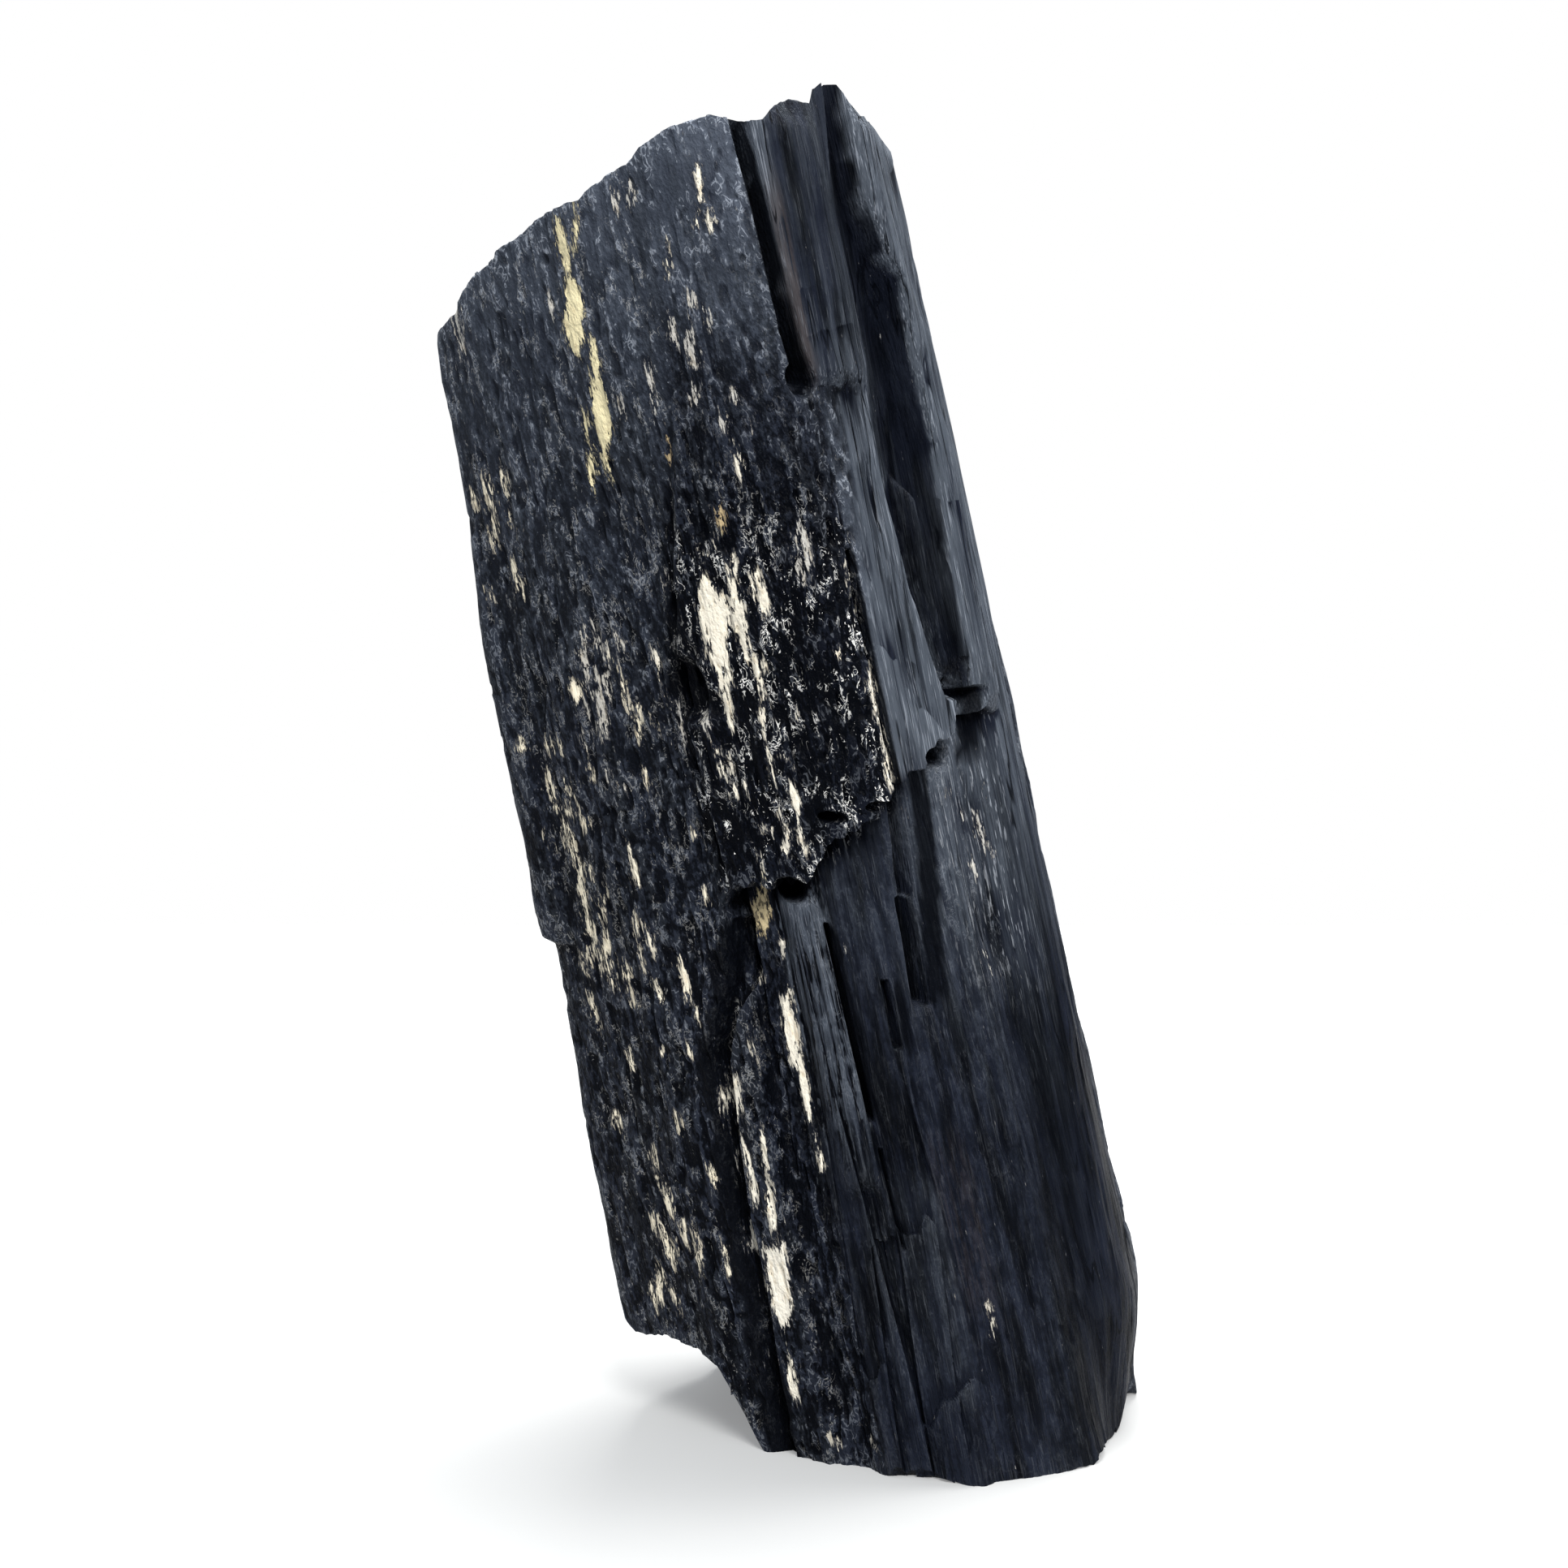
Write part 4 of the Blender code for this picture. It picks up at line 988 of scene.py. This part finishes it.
    # The clay flecks: solid in their middle, ragged at their edge, with dark grain showing through.
    coarse = g.noise(space, 0.40, 2.6, detail=3.0)
    shreds = g.noise(space, 0.16, 0.7, rough=0.65)
    ragged = g.math("ADD", g.times(coarse, 1.5), g.times(shreds, 1.2))
    inside = g.math("ADD", g.attribute("fleck"), g.math("SUBTRACT", ragged, 0.40))
    solid = g.ramp(inside, 1.50, 1.55)
    veil = g.times(g.ramp(inside, 1.34, 1.52), g.ramp(grit, 0.42, 0.58))
    mask = g.most(solid, g.times(veil, 0.35))
    mask = g.times(mask, g.scaled(g.ramp(g.attribute("fleck"), 0.5, 0.58), 0.45, 0.55))
    tint = g.attribute("tint")
    tan = g.ramp(tint, 0.52, 0.65)
    holes = g.times(tan, g.ramp(g.noise(space, 0.36, 0.6, detail=1.0, rough=0.5), 0.55, 0.60))
    mask = g.times(mask, g.math("SUBTRACT", 1.0, holes))
    clay = g.mix(g.ramp(tint, 0.0, 0.3), WHITE, CREAM)
    clay = g.mix(g.ramp(tint, 0.3, 0.5), clay, YELLOW)
    clay = g.mix(tan, clay, TAN)
    stain = g.noise(space, 0.35, 0.9, detail=3.0, rough=0.5)
    clay = g.mix(g.times(g.ramp(stain, 0.52, 0.72), 0.45), clay, TAN)
    moat = g.times(g.ramp(inside, 1.15, 1.45), 0.6)
    body = g.mix(mask, g.mix(moat, body, BLACK), clay)
    g.link(body, shader.inputs["Base Color"])

    # Gloss: threads and fresh crests shine, pits and clay are dull.
    gloss = g.scaled(granular, 0.08, 0.36)
    gloss = g.scaled(grit, -0.2, g.math("ADD", gloss, 0.1))
    pale = g.most(mask, crust)
    g.link(g.scaled(pale, 0.45, gloss, clamp=True), shader.inputs["Roughness"])
    shader.inputs["IOR"].default_value = IOR
    shader.inputs["Specular IOR Level"].default_value = SPECULAR_LEVEL

    # The finest relief: sandy grain, and striations along the crystal.
    sandy = g.math("ADD", g.times(grit, 0.45), g.times(lumps, 0.7))
    sandy = g.times(sandy, g.scaled(granular, 0.8, 0.2))
    ridges = g.math("ADD", g.times(strands, 0.6), g.times(hairs, 0.25))
    fine = g.scaled(ridges, g.scaled(granular, -0.85, 0.95), sandy)
    fine = g.scaled(mask, 0.2, fine)
    bump = g.add("Bump")
    bump.inputs["Strength"].default_value = 1.0
    bump.inputs["Distance"].default_value = BUMP_HEIGHT
    g.link(fine, bump.inputs["Height"])
    g.link(bump.outputs[0], shader.inputs["Normal"])
    return material


def make_crystal():
    mesh = crystal_mesh()
    p, q, z = crystal_coordinates(mesh)
    store(mesh, {**zones(p, q, z), "crest": crests(mesh)})
    mesh.materials.clear()
    mesh.materials.append(schorl_material())
    mesh.shade_smooth()
    mesh.set_sharp_from_angle(angle=SHARP_EDGE)
    crystal = add_object(NODE + "_surface", mesh)
    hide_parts(NODE)
    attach(crystal, "root")


# ------------ stage, lights and camera


def make_floor():
    """A white table top that ends where the backdrop begins."""
    material = bpy.data.materials.new("floor")
    g = Graph(material)
    shader = g.tree.nodes["Principled BSDF"]
    shader.inputs["Roughness"].default_value = 0.9
    shader.inputs["Specular IOR Level"].default_value = 0.0
    seen = g.add("LightPath").outputs["Is Camera Ray"]
    g.link(g.mix(seen, FLOOR_REFLECTED, FLOOR_COLOUR), shader.inputs["Base Color"])
    shader.inputs["Emission Color"].default_value = PURE_WHITE
    shader.inputs["Emission Strength"].default_value = FLOOR_GLOW
    side, near, far = FLOOR_HALF_WIDTH, FLOOR_NEAR, FLOOR_FAR
    mesh = bpy.data.meshes.new("floor")
    mesh.from_pydata([(-side, near, 0), (side, near, 0), (side, far, 0), (-side, far, 0)], [], [(0, 1, 2, 3)])
    mesh.materials.append(material)
    add_object("floor", mesh)


def make_world():
    """White behind the object. What it reflects is bright above, behind and left, and dim in front."""
    world = bpy.data.worlds.new("studio")
    bpy.context.scene.world = world
    g = Graph(world)
    facing = g.add("VectorMath", operation="DOT_PRODUCT")
    g.link_all((g.add("TexCoord").outputs["Generated"], SKY_TOWARD), facing.inputs)
    share = g.add("MapRange")
    g.link_all((facing.outputs["Value"], *SKY_SPAN), share.inputs)
    sky = g.mix(share.outputs[0], SKY_DIM, SKY_BRIGHT)
    seen = g.add("LightPath").outputs["Is Camera Ray"]
    g.link(g.mix(seen, sky, PURE_WHITE), g.tree.nodes["Background"].inputs["Color"])


def make_lights():
    """Soft square lights, turned towards the middle of the object."""
    for name, place_at, size, power in LIGHTS:
        light = bpy.data.lights.new(name, "AREA")
        light.shape = "SQUARE"
        light.size = size
        light.energy = power
        lamp = add_object(name, light)
        lamp.location = place_at
        x, y, z = (aim - start for start, aim in zip(place_at, LIGHTS_AIM))
        lamp.rotation_euler = (math.atan2(math.hypot(x, y), -z), 0.0, math.atan2(-x, y))


def make_camera():
    camera = bpy.data.cameras.new("camera")
    camera.lens = CAMERA_LENS
    camera.sensor_width = SENSOR_WIDTH
    camera.clip_start = 0.01
    holder = add_object("camera", camera)
    holder.location = CAMERA_PLACE
    holder.rotation_euler = (math.radians(CAMERA_TILT), 0.0, 0.0)
    bpy.context.scene.camera = holder


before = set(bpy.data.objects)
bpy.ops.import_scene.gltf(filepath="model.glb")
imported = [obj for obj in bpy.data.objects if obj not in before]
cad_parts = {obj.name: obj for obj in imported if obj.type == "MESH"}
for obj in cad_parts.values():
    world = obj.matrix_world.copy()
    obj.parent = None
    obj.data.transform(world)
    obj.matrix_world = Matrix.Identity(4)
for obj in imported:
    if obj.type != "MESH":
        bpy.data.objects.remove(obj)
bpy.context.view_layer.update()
make_camera()
make_crystal()
make_floor()
make_world()
make_lights()
bpy.context.scene.view_settings.view_transform = "Standard"
